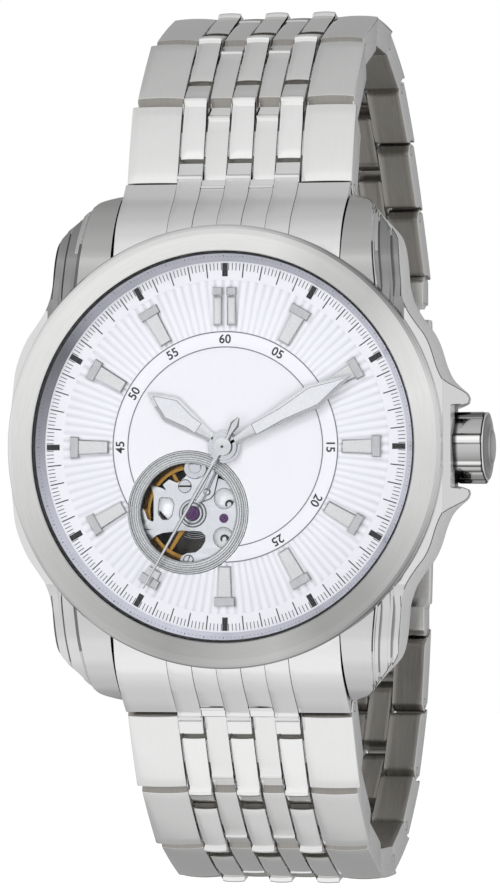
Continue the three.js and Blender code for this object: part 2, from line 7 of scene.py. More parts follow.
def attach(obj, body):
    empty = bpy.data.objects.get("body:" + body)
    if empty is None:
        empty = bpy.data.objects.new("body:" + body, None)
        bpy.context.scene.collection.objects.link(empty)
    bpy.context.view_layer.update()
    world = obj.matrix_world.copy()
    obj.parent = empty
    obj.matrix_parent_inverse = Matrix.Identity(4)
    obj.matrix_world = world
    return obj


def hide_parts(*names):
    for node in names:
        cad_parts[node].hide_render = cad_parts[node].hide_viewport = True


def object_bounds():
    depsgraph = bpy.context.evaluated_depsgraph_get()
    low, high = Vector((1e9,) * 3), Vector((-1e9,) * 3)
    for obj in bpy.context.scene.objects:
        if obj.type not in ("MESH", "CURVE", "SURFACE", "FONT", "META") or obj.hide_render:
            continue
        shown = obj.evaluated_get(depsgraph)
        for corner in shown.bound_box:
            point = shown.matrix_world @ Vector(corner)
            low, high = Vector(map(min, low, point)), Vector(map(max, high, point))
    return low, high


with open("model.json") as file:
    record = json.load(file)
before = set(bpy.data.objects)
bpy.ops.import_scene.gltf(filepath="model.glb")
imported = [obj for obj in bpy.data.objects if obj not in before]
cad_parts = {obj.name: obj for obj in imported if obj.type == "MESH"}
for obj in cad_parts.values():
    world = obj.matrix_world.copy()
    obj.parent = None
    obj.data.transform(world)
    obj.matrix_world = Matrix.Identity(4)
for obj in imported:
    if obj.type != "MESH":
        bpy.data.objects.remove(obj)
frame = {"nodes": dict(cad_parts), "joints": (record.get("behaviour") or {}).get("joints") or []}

CAD_LO, CAD_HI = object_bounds()
MM = 0.001
RAD = math.pi / 180
JOINT = {j["name"]: j for j in frame["joints"]}
# watch frame: x to 3 o'clock, y to 12 o'clock, z out of the dial (mm), z = 0 on the case back
HEAD = Matrix(((1, 0, 0, 0), (0, 0, -1, 0), (0, 1, 0, 0), (0, 0, 0, 1)))
AP = (-3.6, -6.2)          # aperture centre
ZD = 9.5                   # dial face


# ---------------------------------------------------------------- mesh helpers
class Geo:
    """Collects closed shells before they become one mesh."""
    def __init__(self):
        self.v, self.f = [], []

    def add(self, vf, rot=0.0, off=(0, 0, 0)):
        v, f = vf
        n = len(self.v)
        c, s = math.cos(rot), math.sin(rot)
        self.v += [(p[0] * c - p[1] * s + off[0], p[0] * s + p[1] * c + off[1], p[2] + off[2]) for p in v]
        self.f += [tuple(i + n for i in q) for q in f]
        return self

    @property
    def vf(self):
        return self.v, self.f


def loft(secs, loop=False):
    n, m = len(secs[0]), len(secs)
    v = [tuple(p) for s in secs for p in s]
    f = []
    for i in range(m if loop else m - 1):
        a, b = i * n, ((i + 1) % m) * n
        for j in range(n):
            k = (j + 1) % n
            f.append((a + j, a + k, b + k, b + j))
    if not loop:
        f.append(tuple(reversed(range(n))))
        f.append(tuple((m - 1) * n + j for j in range(n)))
    return v, f


def lathe(prof, seg=96, rfun=None):
    """Turned about z. prof is a closed (r, z) outline; rfun(a, r, z) may change r."""
    secs = []
    for i in range(seg):
        a = 2 * math.pi * i / seg
        c, s = math.cos(a), math.sin(a)
        secs.append([((rfun(a, r, z) if rfun else r) * c, (rfun(a, r, z) if rfun else r) * s, z) for r, z in prof])
    return loft(secs, loop=True)


def to_x(vf, z0=0.0):
    """Turns geometry about z into geometry about the x axis, at height z0."""
    return [(p[2], p[1], -p[0] + z0) for p in vf[0]], vf[1]


def prism(outer, z0, z1, holes=()):
    polys = [list(outer)] + [list(h) for h in holes]
    flat = [p for q in polys for p in q]
    n = len(flat)
    tris = tessellate_polygon([[Vector((x, y, 0)) for x, y in q] for q in polys])
    v = [(x, y, z0) for x, y in flat] + [(x, y, z1) for x, y in flat]
    f = [(t[2], t[1], t[0]) for t in tris] + [(t[0] + n, t[1] + n, t[2] + n) for t in tris]
    k = 0
    for q in polys:
        m = len(q)
        for i in range(m):
            a, b = k + i, k + (i + 1) % m
            f.append((a, b, b + n, a + n))
        k += m
    return v, f


def box(x0, x1, y0, y1, z0, z1):
    return loft([[(x0, y0, z0), (x1, y0, z0), (x1, y1, z0), (x0, y1, z0)], [(x0, y0, z1), (x1, y0, z1), (x1, y1, z1), (x0, y1, z1)]])


def circ(r, n, cx=0.0, cy=0.0, ph=0.0):
    return [(cx + r * math.cos(ph + 2 * math.pi * i / n), cy + r * math.sin(ph + 2 * math.pi * i / n)) for i in range(n)]


def area(p):
    return 0.5 * sum(p[i][0] * p[(i + 1) % len(p)][1] - p[(i + 1) % len(p)][0] * p[i][1] for i in range(len(p)))


def inset(p, d):
    """Moves each corner of a polygon inward by d along its mitre."""
    if d == 0:
        return list(p)
    sgn = 1 if area(p) > 0 else -1
    out, n = [], len(p)
    for i in range(n):
        a, b, c = np.array(p[i - 1], float), np.array(p[i], float), np.array(p[(i + 1) % n], float)
        u, w = b - a, c - b
        u, w = u / (np.linalg.norm(u) + 1e-12), w / (np.linalg.norm(w) + 1e-12)
        nu, nw = np.array([-u[1], u[0]]) * sgn, np.array([-w[1], w[0]]) * sgn
        m = nu + nw
        m = m / (np.linalg.norm(m) + 1e-12)
        out.append(tuple(b + m * d / max(0.5, float(m @ nu))))
    return out


def rounded(p, r, seg=3):
    """Rounds the corners of a polygon; r is one radius or one for each corner."""
    out, n = [], len(p)
    for i in range(n):
        ri = r[i] if isinstance(r, (list, tuple)) else r
        a, b, c = np.array(p[i - 1], float), np.array(p[i], float), np.array(p[(i + 1) % n], float)
        if ri <= 0:
            out.append(tuple(b))
            continue
        u, w = a - b, c - b
        lu, lw = np.linalg.norm(u), np.linalg.norm(w)
        ang = math.acos(max(-1, min(1, float(u @ w) / (lu * lw))))
        t = min(ri / max(math.tan(ang / 2), 1e-6), 0.45 * lu, 0.45 * lw)
        p0, p1 = b + u / lu * t, b + w / lw * t
        for k in range(seg + 1):
            s = k / seg
            out.append(tuple((1 - s) ** 2 * p0 + 2 * s * (1 - s) * b + s * s * p1))
    return out


def smooth_line(p, k=4):
    """Catmull-Rom through an open line of points."""
    q = [np.array(x, float) for x in p]
    q = [2 * q[0] - q[1]] + q + [2 * q[-1] - q[-2]]
    out = []
    for i in range(1, len(q) - 2):
        for j in range(k):
            t = j / k
            out.append(tuple(0.5 * (2 * q[i] + (q[i + 1] - q[i - 1]) * t + (2 * q[i - 1] - 5 * q[i] + 4 * q[i + 1] - q[i + 2]) * t * t
                                    + (3 * q[i] - q[i - 1] - 3 * q[i + 1] + q[i + 2]) * t ** 3)))
    out.append(tuple(q[-2]))
    return out


def bar(x0, x1, prof, crown=0.0, edge=0.14, top=0.8, n=6, prof_fn=None):
    """A bar across x whose side outline is prof in (s, n): rounded long edges and a crowned top."""
    hw, xc = (x1 - x0) / 2, (x0 + x1) / 2
    secs = []
    st = [(x0, edge), (x0 + 0.3 * edge, 0.3 * edge), (x0 + edge, 0.0)]
    st += [(x0 + edge + (x1 - x0 - 2 * edge) * i / n, 0.0) for i in range(1, n)]
    st += [(x1 - edge, 0.0), (x1 - 0.3 * edge, 0.3 * edge), (x1, edge)]
    for x, e in st:
        t = (x - xc) / hw
        q = inset(prof_fn(x) if prof_fn else prof, e)
        secs.append([(x, s, z + (crown * (1 - t * t) if z > top else 0)) for s, z in q])
    return loft(secs)


def make(name, vf, mats, body, M=HEAD, pick=None, bevel=0.0, bseg=2, sharp=34, node=(), cuts=(), merge=1e-7, blimit=28, weld=True):
    me = bpy.data.meshes.new(name)
    me.from_pydata([(p[0] * MM, p[1] * MM, p[2] * MM) for p in vf[0]], [], vf[1])
    bm = bmesh.new()
    bm.from_mesh(me)
    bmesh.ops.remove_doubles(bm, verts=bm.verts, dist=merge)
    bmesh.ops.dissolve_degenerate(bm, dist=1e-8, edges=bm.edges)
    bmesh.ops.recalc_face_normals(bm, faces=bm.faces)
    bm.to_mesh(me)
    bm.free()
    ob = bpy.data.objects.new(name, me)
    bpy.context.scene.collection.objects.link(ob)
    ob.matrix_world = M
    for c in cuts:
        boolean(ob, c)
    if bevel:
        for p in ob.data.polygons:
            p.use_smooth = True
        b = ob.modifiers.new("b", "BEVEL")
        b.width, b.segments, b.limit_method, b.angle_limit = bevel * MM, bseg, "ANGLE", blimit * RAD
        b.use_clamp_overlap = True
        w = ob.modifiers.new("w", "WEIGHTED_NORMAL")
        w.weight, w.keep_sharp = 60, True
        bake(ob)
    else:
        for p in ob.data.polygons:
            p.use_smooth = True
        ob.data.set_sharp_from_angle(angle=sharp * RAD)
    me = ob.data
    me.materials.clear()
    for m in (mats if isinstance(mats, (list, tuple)) else [mats]):
        me.materials.append(m)
    for p in me.polygons:
        p.material_index = pick(p.normal, p.center * 1000) if pick else 0
    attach(ob, body)
    if node:
        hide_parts(*([node] if isinstance(node, str) else node))
    return ob


def bake(ob):
    bpy.context.view_layer.update()
    dg = bpy.context.evaluated_depsgraph_get()
    me = bpy.data.meshes.new_from_object(ob.evaluated_get(dg), preserve_all_data_layers=True, depsgraph=dg)
    old = ob.data
    ob.modifiers.clear()
    ob.data = me
    bpy.data.meshes.remove(old)


def boolean(ob, cut):
    """cut is (geometry, operation)."""
    vf, op = cut
    me = bpy.data.meshes.new("c")
    me.from_pydata([(p[0] * MM, p[1] * MM, p[2] * MM) for p in vf[0]], [], vf[1])
    bm = bmesh.new()
    bm.from_mesh(me)
    bmesh.ops.remove_doubles(bm, verts=bm.verts, dist=1e-7)
    bmesh.ops.recalc_face_normals(bm, faces=bm.faces)
    bm.to_mesh(me)
    bm.free()
    c = bpy.data.objects.new("c", me)
    bpy.context.scene.collection.objects.link(c)
    c.matrix_world = ob.matrix_world
    m = ob.modifiers.new("x", "BOOLEAN")
    m.object, m.operation, m.solver = c, op, "EXACT"
    bake(ob)
    bpy.data.objects.remove(c)
    bpy.data.meshes.remove(me)


# ------------------------------------------------------------------- materials
class Nodes:
    def __init__(self, name):
        self.m = bpy.data.materials.new(name)
        self.m.use_nodes = True
        self.t = self.m.node_tree
        self.t.nodes.clear()
        self.out = self.t.nodes.new("ShaderNodeOutputMaterial")

    def n(self, kind, ins=None, **props):
        x = self.t.nodes.new("ShaderNode" + kind)
        for k, v in props.items():
            setattr(x, k, v)
        for k, v in (ins or {}).items():
            if hasattr(v, "is_output") or isinstance(v, bpy.types.NodeSocket):
                self.t.links.new(v, x.inputs[k])
            else:
                x.inputs[k].default_value = v
        return x

    def math(self, op, a, b=0.0, clamp=False):
        return self.n("Math", {0: a, 1: b}, operation=op, use_clamp=clamp).outputs[0]

    def coords(self):
        return self.n("TexCoord").outputs["Object"]

    def scaled(self, v, s):
        return self.n("VectorMath", {0: v, 1: s}, operation="MULTIPLY").outputs[0]

    def noise(self, v, scale=1.0, detail=3.0, rough=0.6):
        return self.n("TexNoise", {"Vector": v, "Scale": scale, "Detail": detail, "Roughness": rough}).outputs["Fac"]

    def remap(self, f, lo, hi, a=0.3, b=0.7):
        return self.n("MapRange", {"Value": f, "From Min": a, "From Max": b, "To Min": lo, "To Max": hi}).outputs[0]

    def ramp(self, f, stops, mode="EASE"):
        r = self.n("ValToRGB", {0: f})
        e = r.color_ramp.elements
        r.color_ramp.interpolation = mode
        while len(e) > 2:
            e.remove(e[-1])
        e[0].position, e[0].color = stops[0][0], col(stops[0][1])
        e[1].position, e[1].color = stops[-1][0], col(stops[-1][1])
        for p, c in stops[1:-1]:
            x = e.new(p)
            x.color = col(c)
        return r.outputs[0]

    def mix(self, f, a, b, kind="MIX"):
        m = self.n("Mix", {}, data_type="RGBA", blend_type=kind)
        for i, x in ((0, f), (6, a), (7, b)):
            if isinstance(x, bpy.types.NodeSocket):
                self.t.links.new(x, m.inputs[i])
            else:
                m.inputs[i].default_value = x if i == 0 else col(x)
        return m.outputs[2]

    def bump(self, h, strength=0.1, dist=0.00005, normal=None):
        ins = {"Height": h, "Strength": strength, "Distance": dist}
        if normal is not None:
            ins["Normal"] = normal
        return self.n("Bump", ins).outputs[0]

    def done(self, base, rough, metal=1.0, normal=None, **more):
        ins = {"Base Color": base if isinstance(base, bpy.types.NodeSocket) else col(base), "Roughness": rough, "Metallic": metal}
        if normal is not None:
            ins["Normal"] = normal
        ins.update(more)
        b = self.n("BsdfPrincipled", ins)
        self.t.links.new(b.outputs[0], self.out.inputs[0])
        return self.m


def col(c):
    if isinstance(c, (int, float)):
        return (c, c, c, 1)
    return (*c[:3], 1)


def brushed(name, base, rough, freq, depth=0.12, tint=0.06, metal=1.0):
    """Fine straight grain. freq is cycles per metre along the object's x, y and z."""
    k = Nodes(name)
    v = k.coords()
    fine = k.noise(k.scaled(v, freq), 1.0, 4.0, 0.7)
    broad = k.noise(v, 260.0, 2.0)
    tone = k.remap(fine, 1 - tint, 1 + tint)
    c = k.mix(1.0, base, k.n("CombineColor", {0: tone, 1: tone, 2: tone}).outputs[0], "MULTIPLY")
    r = k.math("ADD", k.remap(fine, rough - 0.05, rough + 0.07), k.remap(broad, -0.02, 0.03))
    return k.done(c, r, metal, k.bump(fine, depth, 0.00002))


def polished(name, base, rough=0.07, haze=0.03):
    """Mirror polish with faint hairlines and slight waviness."""
    k = Nodes(name)
    v = k.coords()
    wave = k.noise(v, 330.0, 2.0)
    hair = k.noise(k.scaled(v, (2600, 700, 9000)), 1.0, 5.0, 0.7)
    r = k.math("ADD", k.remap(wave, rough - haze / 2, rough + haze), k.remap(hair, -0.01, 0.03))
    tone = k.remap(hair, 0.985, 1.015)
    c = k.mix(1.0, base, k.n("CombineColor", {0: tone, 1: tone, 2: tone}).outputs[0], "MULTIPLY")
    return k.done(c, r, 1.0, k.bump(wave, 0.05, 0.00002))


def turned(name, base, rough, freq=9000.0, depth=0.15, centre=(0, 0), painted_sheen_stops=None, around=7.0, metal=1.0):
    """Circular grain about the watch axis; the optional stops paint sheen and shade into the colour by angle."""
    k = Nodes(name)
    v = k.coords()
    xyz = k.n("SeparateXYZ", {0: k.n("VectorMath", {0: v, 1: (centre[0] * MM, centre[1] * MM, 0)}, operation="SUBTRACT").outputs[0]})
    x, y, z = xyz.outputs
    r = k.math("SQRT", k.math("ADD", k.math("MULTIPLY", x, x), k.math("MULTIPLY", y, y)))
    a = k.math("ARCTAN2", y, x)
    u = k.n("CombineXYZ", {0: k.math("MULTIPLY", r, freq), 1: k.math("MULTIPLY", k.math("COSINE", a), around), 2: k.math("MULTIPLY", k.math("SINE", a), around)}).outputs[0]
    fine = k.noise(u, 1.0, 4.0, 0.7)
    tone = k.remap(fine, 0.95, 1.05)
    c = k.mix(1.0, base, k.n("CombineColor", {0: tone, 1: tone, 2: tone}).outputs[0], "MULTIPLY")
    # painted light: sheen and shade by angle, multiplied into the base colour
    if painted_sheen_stops:
        t = k.math("ADD", k.math("DIVIDE", a, 2 * math.pi), 0.5)
        c = k.mix(1.0, c, k.ramp(t, painted_sheen_stops, "LINEAR"), "MULTIPLY")
    return k.done(c, k.remap(fine, rough - 0.05, rough + 0.07), metal, k.bump(fine, depth, 0.00002))


def PAINTED_SHEEN_RAMP(*v):
    """Painted sheen and shade: brightness stops at even steps from -180 to 180 degrees."""
    return [(i / (len(v) - 1), x) for i, x in enumerate(v)]


STEEL = (0.80, 0.80, 0.795)
# bezel edge: painted sheen and shade by angle around the ring
m_bezel_edge = turned("bezel_edge_painted_sheen", (0.9, 0.9, 0.9), 0.12, depth=0.02, painted_sheen_stops=PAINTED_SHEEN_RAMP(.95, .8, .6, .55, .6, .5, .55, .6, .4, .30, .4, .7, .85, .9, .6, .35, .4, .8, .95, .95, .95, .85, .85, .9, .95))
m_case = polished("case_polish", (0.82, 0.82, 0.82), 0.07)
m_link = polished("link_polish", (0.80, 0.80, 0.795), 0.08)
m_edge = polished("bright_edge", (0.90, 0.90, 0.90), 0.12)
m_side = brushed("link_side_satin", (0.84, 0.84, 0.84), 0.32, (500, 420, 9000))
# dark brown-grey satin for link undersides, inner faces and hinge end faces: painted shade
m_link_inside_shade = brushed("link_inner_satin", (0.36, 0.345, 0.32), 0.38, (9000, 300, 500), 0.2, 0.12)
m_flank = brushed("case_flank", (0.80, 0.80, 0.80), 0.2, (500, 500, 9000), 0.08, 0.04, 0.7)
# near-black polish for the painted shade line along the case's top edges
m_edge_line_shade = polished("edge_line_painted_shade", (0.14, 0.14, 0.14), 0.15)
# near-black polish for the case walls beside the crown: painted shade
m_crown_gap_shade = polished("crown_gap_painted_shade", (0.20, 0.195, 0.185), 0.2)
# white matte for plates seen through the balance bridge: painted reflection of brightly lit polished metal
m_reflection_white = brushed("white_painted_reflection", (0.985, 0.985, 0.985), 0.5, (900, 2500, 900), 0.04, 0.015, 0.0)
# bezel face: painted sheen and shade by angle around the ring
m_bezel = turned("bezel_satin", (0.95, 0.95, 0.94), 0.34, painted_sheen_stops=PAINTED_SHEEN_RAMP(.84, .77, .66, .58, .52, .44, .54, .61, .43, .46, .63, .79, .83, .93, .83, .62, .68, .89, .90, .90, .91, .92, .91, .89, .84))
m_back = turned("back_satin", (0.74, 0.74, 0.74), 0.3)


def crown_mat():
    """Polished crown with painted light: reflection bands by angle about its axis, shade at its case end and in the
    groove before the dome, and reflection rings on the dome.
    """
    k = Nodes("crown_painted_reflections")
    v = k.coords()
    x, y, z = k.n("SeparateXYZ", {0: v}).outputs
    z = k.math("SUBTRACT", z, 5.2 * MM)
    r = k.math("SQRT", k.math("ADD", k.math("MULTIPLY", y, y), k.math("MULTIPLY", z, z)))
    t = k.math("ADD", k.math("DIVIDE", k.math("ARCTAN2", y, z), 2 * math.pi), 0.5)
    # painted reflection: bright and dark bands by angle about the crown axis
    painted_reflection_bands = k.ramp(t, [((d + 180) / 360, c) for d, c in (
        (-180, .6), (-90, .5), (-76, .15), (-73, .62), (-57, .62), (-55, .95), (-52, .95), (-50, .42), (-45, .42), (-44, .22), (-41, .22), (-40, .62), (-35.2, .62), (-34.4, .12),
        (-32, .12), (-31, .98), (-28, .98), (-26, .28), (-8, .60), (1.5, .70), (4.6, .42), (6.8, 1.0), (15.5, 1.0), (16.5, .15), (19, .15), (22, .62), (54, .74), (56, .14), (62, .16), (66, .7), (180, .6))], "LINEAR")
    # painted shade: dark at the end by the case and in the groove before the dome
    along = k.ramp(k.n("MapRange", {"Value": x, "From Min": 21.6 * MM, "From Max": 25.1 * MM}).outputs[0],
                   [(0.0, .10), (0.10, .16), (0.17, 1.0), (0.765, 1.0), (0.785, .12), (0.81, .12), (0.825, 1.0), (1.0, 1.0)], "LINEAR")
    # painted reflection rings across the dome face
    dome = k.ramp(k.n("MapRange", {"Value": r, "From Min": 0.0, "From Max": 3.3 * MM}).outputs[0],
                  [(0.0, .80), (0.34, .66), (0.46, .34), (0.52, .60), (0.60, .36), (0.80, .46), (0.88, .30), (0.925, .34), (0.945, 1.0), (1.0, 1.0)], "LINEAR")
    face = k.math("GREATER_THAN", x, 24.452 * MM)
    hair = k.noise(k.scaled(v, (2600, 900, 900)), 1.0, 4.0, 0.7)
    tone = k.mix(face, k.mix(1.0, painted_reflection_bands, along, "MULTIPLY"), dome)
    c = k.mix(1.0, (0.92, 0.92, 0.915), tone, "MULTIPLY")
    return k.done(c, k.remap(hair, 0.08, 0.13), 1.0, k.bump(k.noise(v, 330.0, 2.0), 0.05, 0.00002))


m_crown = crown_mat()
# flange: painted sheen by angle, with a painted shade stop near the upper left
m_rehaut = turned("rehaut_painted_sheen", (0.80, 0.80, 0.87), 0.4, depth=0.03, metal=0.35, painted_sheen_stops=PAINTED_SHEEN_RAMP(.55, .75, .9, .9, .95, 1, .9, .85, .75, .75, .75, .9, .9, .95, .9, .75, .7, .7, .75, .7, .7, .6, .25, .35, .55))
def ring_mat():
    k = Nodes("aperture_ring_steel")
    xyz = k.n("SeparateXYZ", {0: k.n("VectorMath", {0: k.coords(), 1: (AP[0] * MM, AP[1] * MM, 0)}, operation="SUBTRACT").outputs[0]})
    x, y, z = xyz.outputs
    r = k.math("SQRT", k.math("ADD", k.math("MULTIPLY", x, x), k.math("MULTIPLY", y, y)))
    u = k.math("FRACT", k.math("DIVIDE", k.math("SUBTRACT", r, 4.70 * MM), 0.215 * MM))
    g = k.n("MapRange", {"Value": k.math("ABSOLUTE", k.math("SUBTRACT", u, 0.5)), "From Min": 0.10, "From Max": 0.26}, interpolation_type="SMOOTHSTEP").outputs[0]
    f = k.noise(k.coords(), 3000.0, 2.0)
    # painted shade: dark colour in the low band of each groove
    c = k.mix(g, (0.24, 0.25, 0.25), k.mix(f, (0.84, 0.85, 0.84), (0.94, 0.95, 0.94)))
    return k.done(c, k.remap(f, 0.24, 0.32), 0.9, k.bump(g, 0.3, 0.00005))


m_ring = ring_mat()
m_gold = turned("gilt_rim", (0.50, 0.27, 0.055), 0.22, centre=AP, depth=0.08)
m_brass = turned("gilt_wheel", (0.78, 0.60, 0.27), 0.28)
m_cock = brushed("rhodium_plate", (0.86, 0.87, 0.885), 0.3, (2500, 700, 900), 0.1, 0.04)
m_screw = turned("screw_steel", (0.75, 0.76, 0.78), 0.16, freq=4000)
m_part = brushed("ground_steel", (0.60, 0.61, 0.63), 0.3, (1200, 7000, 1200))
m_claspin = brushed("clasp_inner_satin", (0.66, 0.655, 0.64), 0.36, (9000, 300, 500), 0.2, 0.1)
m_clasp = brushed("clasp_satin", (0.76, 0.76, 0.755), 0.3, (9000, 260, 500), 0.18, 0.08)


def printed(name, c, rough=0.5):
    k = Nodes(name)
    f = k.noise(k.coords(), 5200.0, 3.0)
    return k.done(k.mix(f, [x * 0.85 for x in c], [min(1, x * 1.15) for x in c]), k.remap(f, rough - 0.08, rough + 0.08), 0.0, k.bump(f, 0.05, 0.00001))


m_black = printed("printed_black", (0.012, 0.012, 0.014), 0.35)
m_grey = printed("printed_grey", (0.16, 0.16, 0.17), 0.4)
m_rubber = printed("seal_rubber", (0.015, 0.015, 0.017), 0.6)
m_lume = printed("pale_inlay", (0.69, 0.69, 0.70), 0.45)
m_lume2 = printed("marker_inlay", (0.62, 0.615, 0.60), 0.4)
m_ruby = None


def ruby():
    k = Nodes("ruby")
    v = k.coords()
    f = k.noise(v, 1800.0, 2.0)
    fr = k.n("LayerWeight", {0: 0.35}).outputs["Facing"]
    # lighter violet towards grazing angles: painted sheen on the stone's rim
    c = k.mix(fr, k.mix(f, (0.035, 0.006, 0.055), (0.085, 0.014, 0.11)), (0.16, 0.05, 0.20))
    return k.done(c, 0.08, 0.0, None, **{"Coat Weight": 0.25, "Coat Roughness": 0.05})


m_ruby = ruby()


def dial_mat():
    """Silvered dial: satin centre, radial pleats with painted shade in their grooves, plain outer ring."""
    k = Nodes("dial_silvered")
    v = k.coords()
    x, y, z = k.n("SeparateXYZ", {0: v}).outputs
    r = k.math("SQRT", k.math("ADD", k.math("MULTIPLY", x, x), k.math("MULTIPLY", y, y)))
    a = k.math("ARCTAN2", y, x)
    grain = k.noise(v, 9000.0, 3.0)
    pl = k.math("MULTIPLY", k.math("ADD", k.math("SINE", k.math("MULTIPLY", a, 120.0)), 1.0), 0.5)
    zone = k.math("MULTIPLY", k.math("GREATER_THAN", r, 0.01098), k.math("LESS_THAN", r, 0.01580))
    # painted shade: darker colour in the pleat grooves
    shade = k.math("MULTIPLY", k.math("POWER", pl, 2.2), zone)
    base = k.mix(k.remap(grain, 0, 1), (0.822, 0.808, 0.825), (0.856, 0.842, 0.857))
    c = k.mix(k.math("MULTIPLY", shade, 0.55), base, (0.60, 0.61, 0.64))
    return k.done(c, k.remap(grain, 0.3, 0.45), 0.12, k.bump(grain, 0.05, 0.00001))


m_dial = dial_mat()


def glass(name, tint=(0.95, 0.97, 1.0)):
    """Thin clear crystal: light passes, and a faint reflection shows at grazing angles."""
    k = Nodes(name)
    smudge = k.noise(k.coords(), 180.0, 2.0)
    tr = k.n("BsdfTransparent", {0: (*tint, 1)})
    gl = k.n("BsdfGlossy", {"Roughness": k.remap(smudge, 0.01, 0.04), "Color": (1, 1, 1, 1)})
    fr = k.n("Fresnel", {"IOR": 1.22}).outputs[0]
    f = k.math("MULTIPLY", fr, k.remap(smudge, 0.85, 1.0), True)
    mx = k.n("MixShader", {0: f, 1: tr.outputs[0], 2: gl.outputs[0]})
    k.t.links.new(mx.outputs[0], k.out.inputs[0])
    return k.m


m_glass = glass("clear_crystal", (0.985, 0.99, 1.0))
m_glass2 = glass("back_crystal", (0.985, 0.99, 1.0))


def striped(name, base, pitch=1.7, angle=0.0, rough=0.26):
    """Plate with broad parallel stripes of turned grain."""
    k = Nodes(name)
    v = k.coords()
    c, s = math.cos(angle), math.sin(angle)
    u = k.n("VectorMath", {0: v, 1: (c, s, 0)}, operation="DOT_PRODUCT").outputs["Value"]
    ph = k.math("FRACT", k.math("DIVIDE", u, pitch * MM))
    grain = k.noise(k.scaled(v, (900, 900, 900)), 1.0, 2.0)
    tone = k.ramp(ph, [(0.0, 0.55), (0.5, 0.86), (0.9, 1.0), (1.0, 0.50)], "LINEAR")
    cc = k.mix(1.0, base, tone, "MULTIPLY")
    return k.done(cc, k.remap(grain, rough - 0.02, rough + 0.02), 1.0, k.bump(ph, 0.2, 0.00003))


m_rotor = striped("rotor_striped", (0.86, 0.85, 0.83), 1.6, 0.4)
m_bridge = striped("bridge_striped", (0.80, 0.81, 0.82), 1.6, 1.2)


def perlage(name, base):
    """Plate covered in small overlapping turned spots."""
    k = Nodes(name)
    v = k.coords()
    vo = k.n("TexVoronoi", {"Vector": k.scaled(v, (1, 1, 0)), "Scale": 900.0, "Randomness": 0.25})
    d = vo.outputs["Distance"]
    ringy = k.math("SINE", k.math("MULTIPLY", d, 30.0))
    c = k.mix(k.remap(d, 0, 1, 0.0, 0.7), [x * 1.1 for x in base], [x * 0.7 for x in base])
    return k.done(c, 0.32, 1.0, k.bump(ringy, 0.15, 0.00002))


m_plate = perlage("plate_spotted", (0.62, 0.63, 0.65))
# near-black perlage for the train bridge deep under the aperture: painted shade
m_dark = perlage("movement_painted_shade", (0.10, 0.095, 0.09))
m_spacer = printed("spacer_plastic", (0.20, 0.21, 0.22), 0.5)


# ------------------------------------------------------------------ case, bezel
# darker copies of the case polish on the lugs and their flutes: painted shade
m_lug = polished("lug_painted_shade", (0.52, 0.52, 0.515), 0.1)
m_lug2 = polished("lug_flute_painted_shade", (0.29, 0.29, 0.29), 0.12)
m_lug3 = polished("lug_lower_painted_shade", (0.68, 0.68, 0.68), 0.1)


side_pts = smooth_line([(13.0, 9.66), (17.2, 9.66), (19.4, 9.0), (21.3, 7.8), (22.8, 6.35), (23.8, 4.95), (24.28, 3.6), (24.3, 2.3)], 4)
side_low = [(23.9, 1.55), (23.2, 1.2), (20.5, 1.06), (13.0, 1.06)]


def RIDGE(y):
    return 0.1 * max(0.0, abs(y) - 15.0)


def case_sections():
    """Side outlines from left to right; the lugs' outer parts step down in flutes."""
    st = [(10.0, 0.0, 0), (14.46, 0.0, 1), (14.54, -0.36, 1), (14.70, -0.42, 1), (14.78, -0.13, 1), (15.08, -0.10, 1), (15.16, -0.56, 1),
          (15.90, -0.50, 1), (15.98, -0.22, 1), (16.24, -0.24, 1), (16.32, -0.76, 1), (16.88, -0.70, 1), (16.98, -0.45, 1), (17.3, -0.5, 1), (18.2, -0.5, 0), (24.0, -0.5, 0)]
    st = [(-x, d, s) for x, d, s in reversed(st)] + st
    secs = []
    for x, d, s in st:
        sec = []
        for sg in (1, -1):
            line = []
            for y, z in side_pts:
                w = min(1, max(0, (y - 13.0) / 3.0))
                w = w * w * (3 - 2 * w)
                dd = d * w if abs(x) < 17.3 else d * w * 0.6
                sx = 1 if x > 0 else -1
                line.append((x - sx * (RIDGE(y) if s else 0), sg * y, z + dd if z > 2.5 else z))
            line += [(x, sg * y, z) for y, z in side_low]
            sec.append(line)
        secs.append(sec[0] + list(reversed(sec[1])))
    return secs


half_line = smooth_line([(11.16, 24.55), (12.1, 24.15), (13.1, 23.62), (13.8, 22.8), (14.9, 21.5), (16.3, 20.0), (16.8, 18.6), (17.02, 16.8), (17.2, 15.0), (17.75, 13.3),
                         (18.7, 11.8), (19.6, 10.6), (20.2, 9.3), (20.7, 7.7), (21.3, 6.4), (22.1, 5.55), (22.75, 5.0), (22.98, 4.5)], 3)
right_line = half_line + [(22.9, 4.12), (22.5, 3.95), (21.75, 3.9)]
left_line = smooth_line([(-11.16, 24.55), (-12.1, 24.15), (-13.1, 23.62), (-13.8, 22.8), (-14.9, 21.5), (-16.3, 20.0), (-16.8, 18.6), (-17.02, 16.8), (-17.2, 15.0), (-17.75, 13.3),
                         (-18.7, 11.8), (-19.6, 10.5), (-20.3, 9.0), (-20.8, 7.4), (-21.05, 5.4), (-21.2, 3.6)], 3)
outline = ([(x, -y) for x, y in right_line] + [(x, y) for x, y in reversed(right_line)] + left_line + [(x, -y) for x, y in reversed(left_line)])
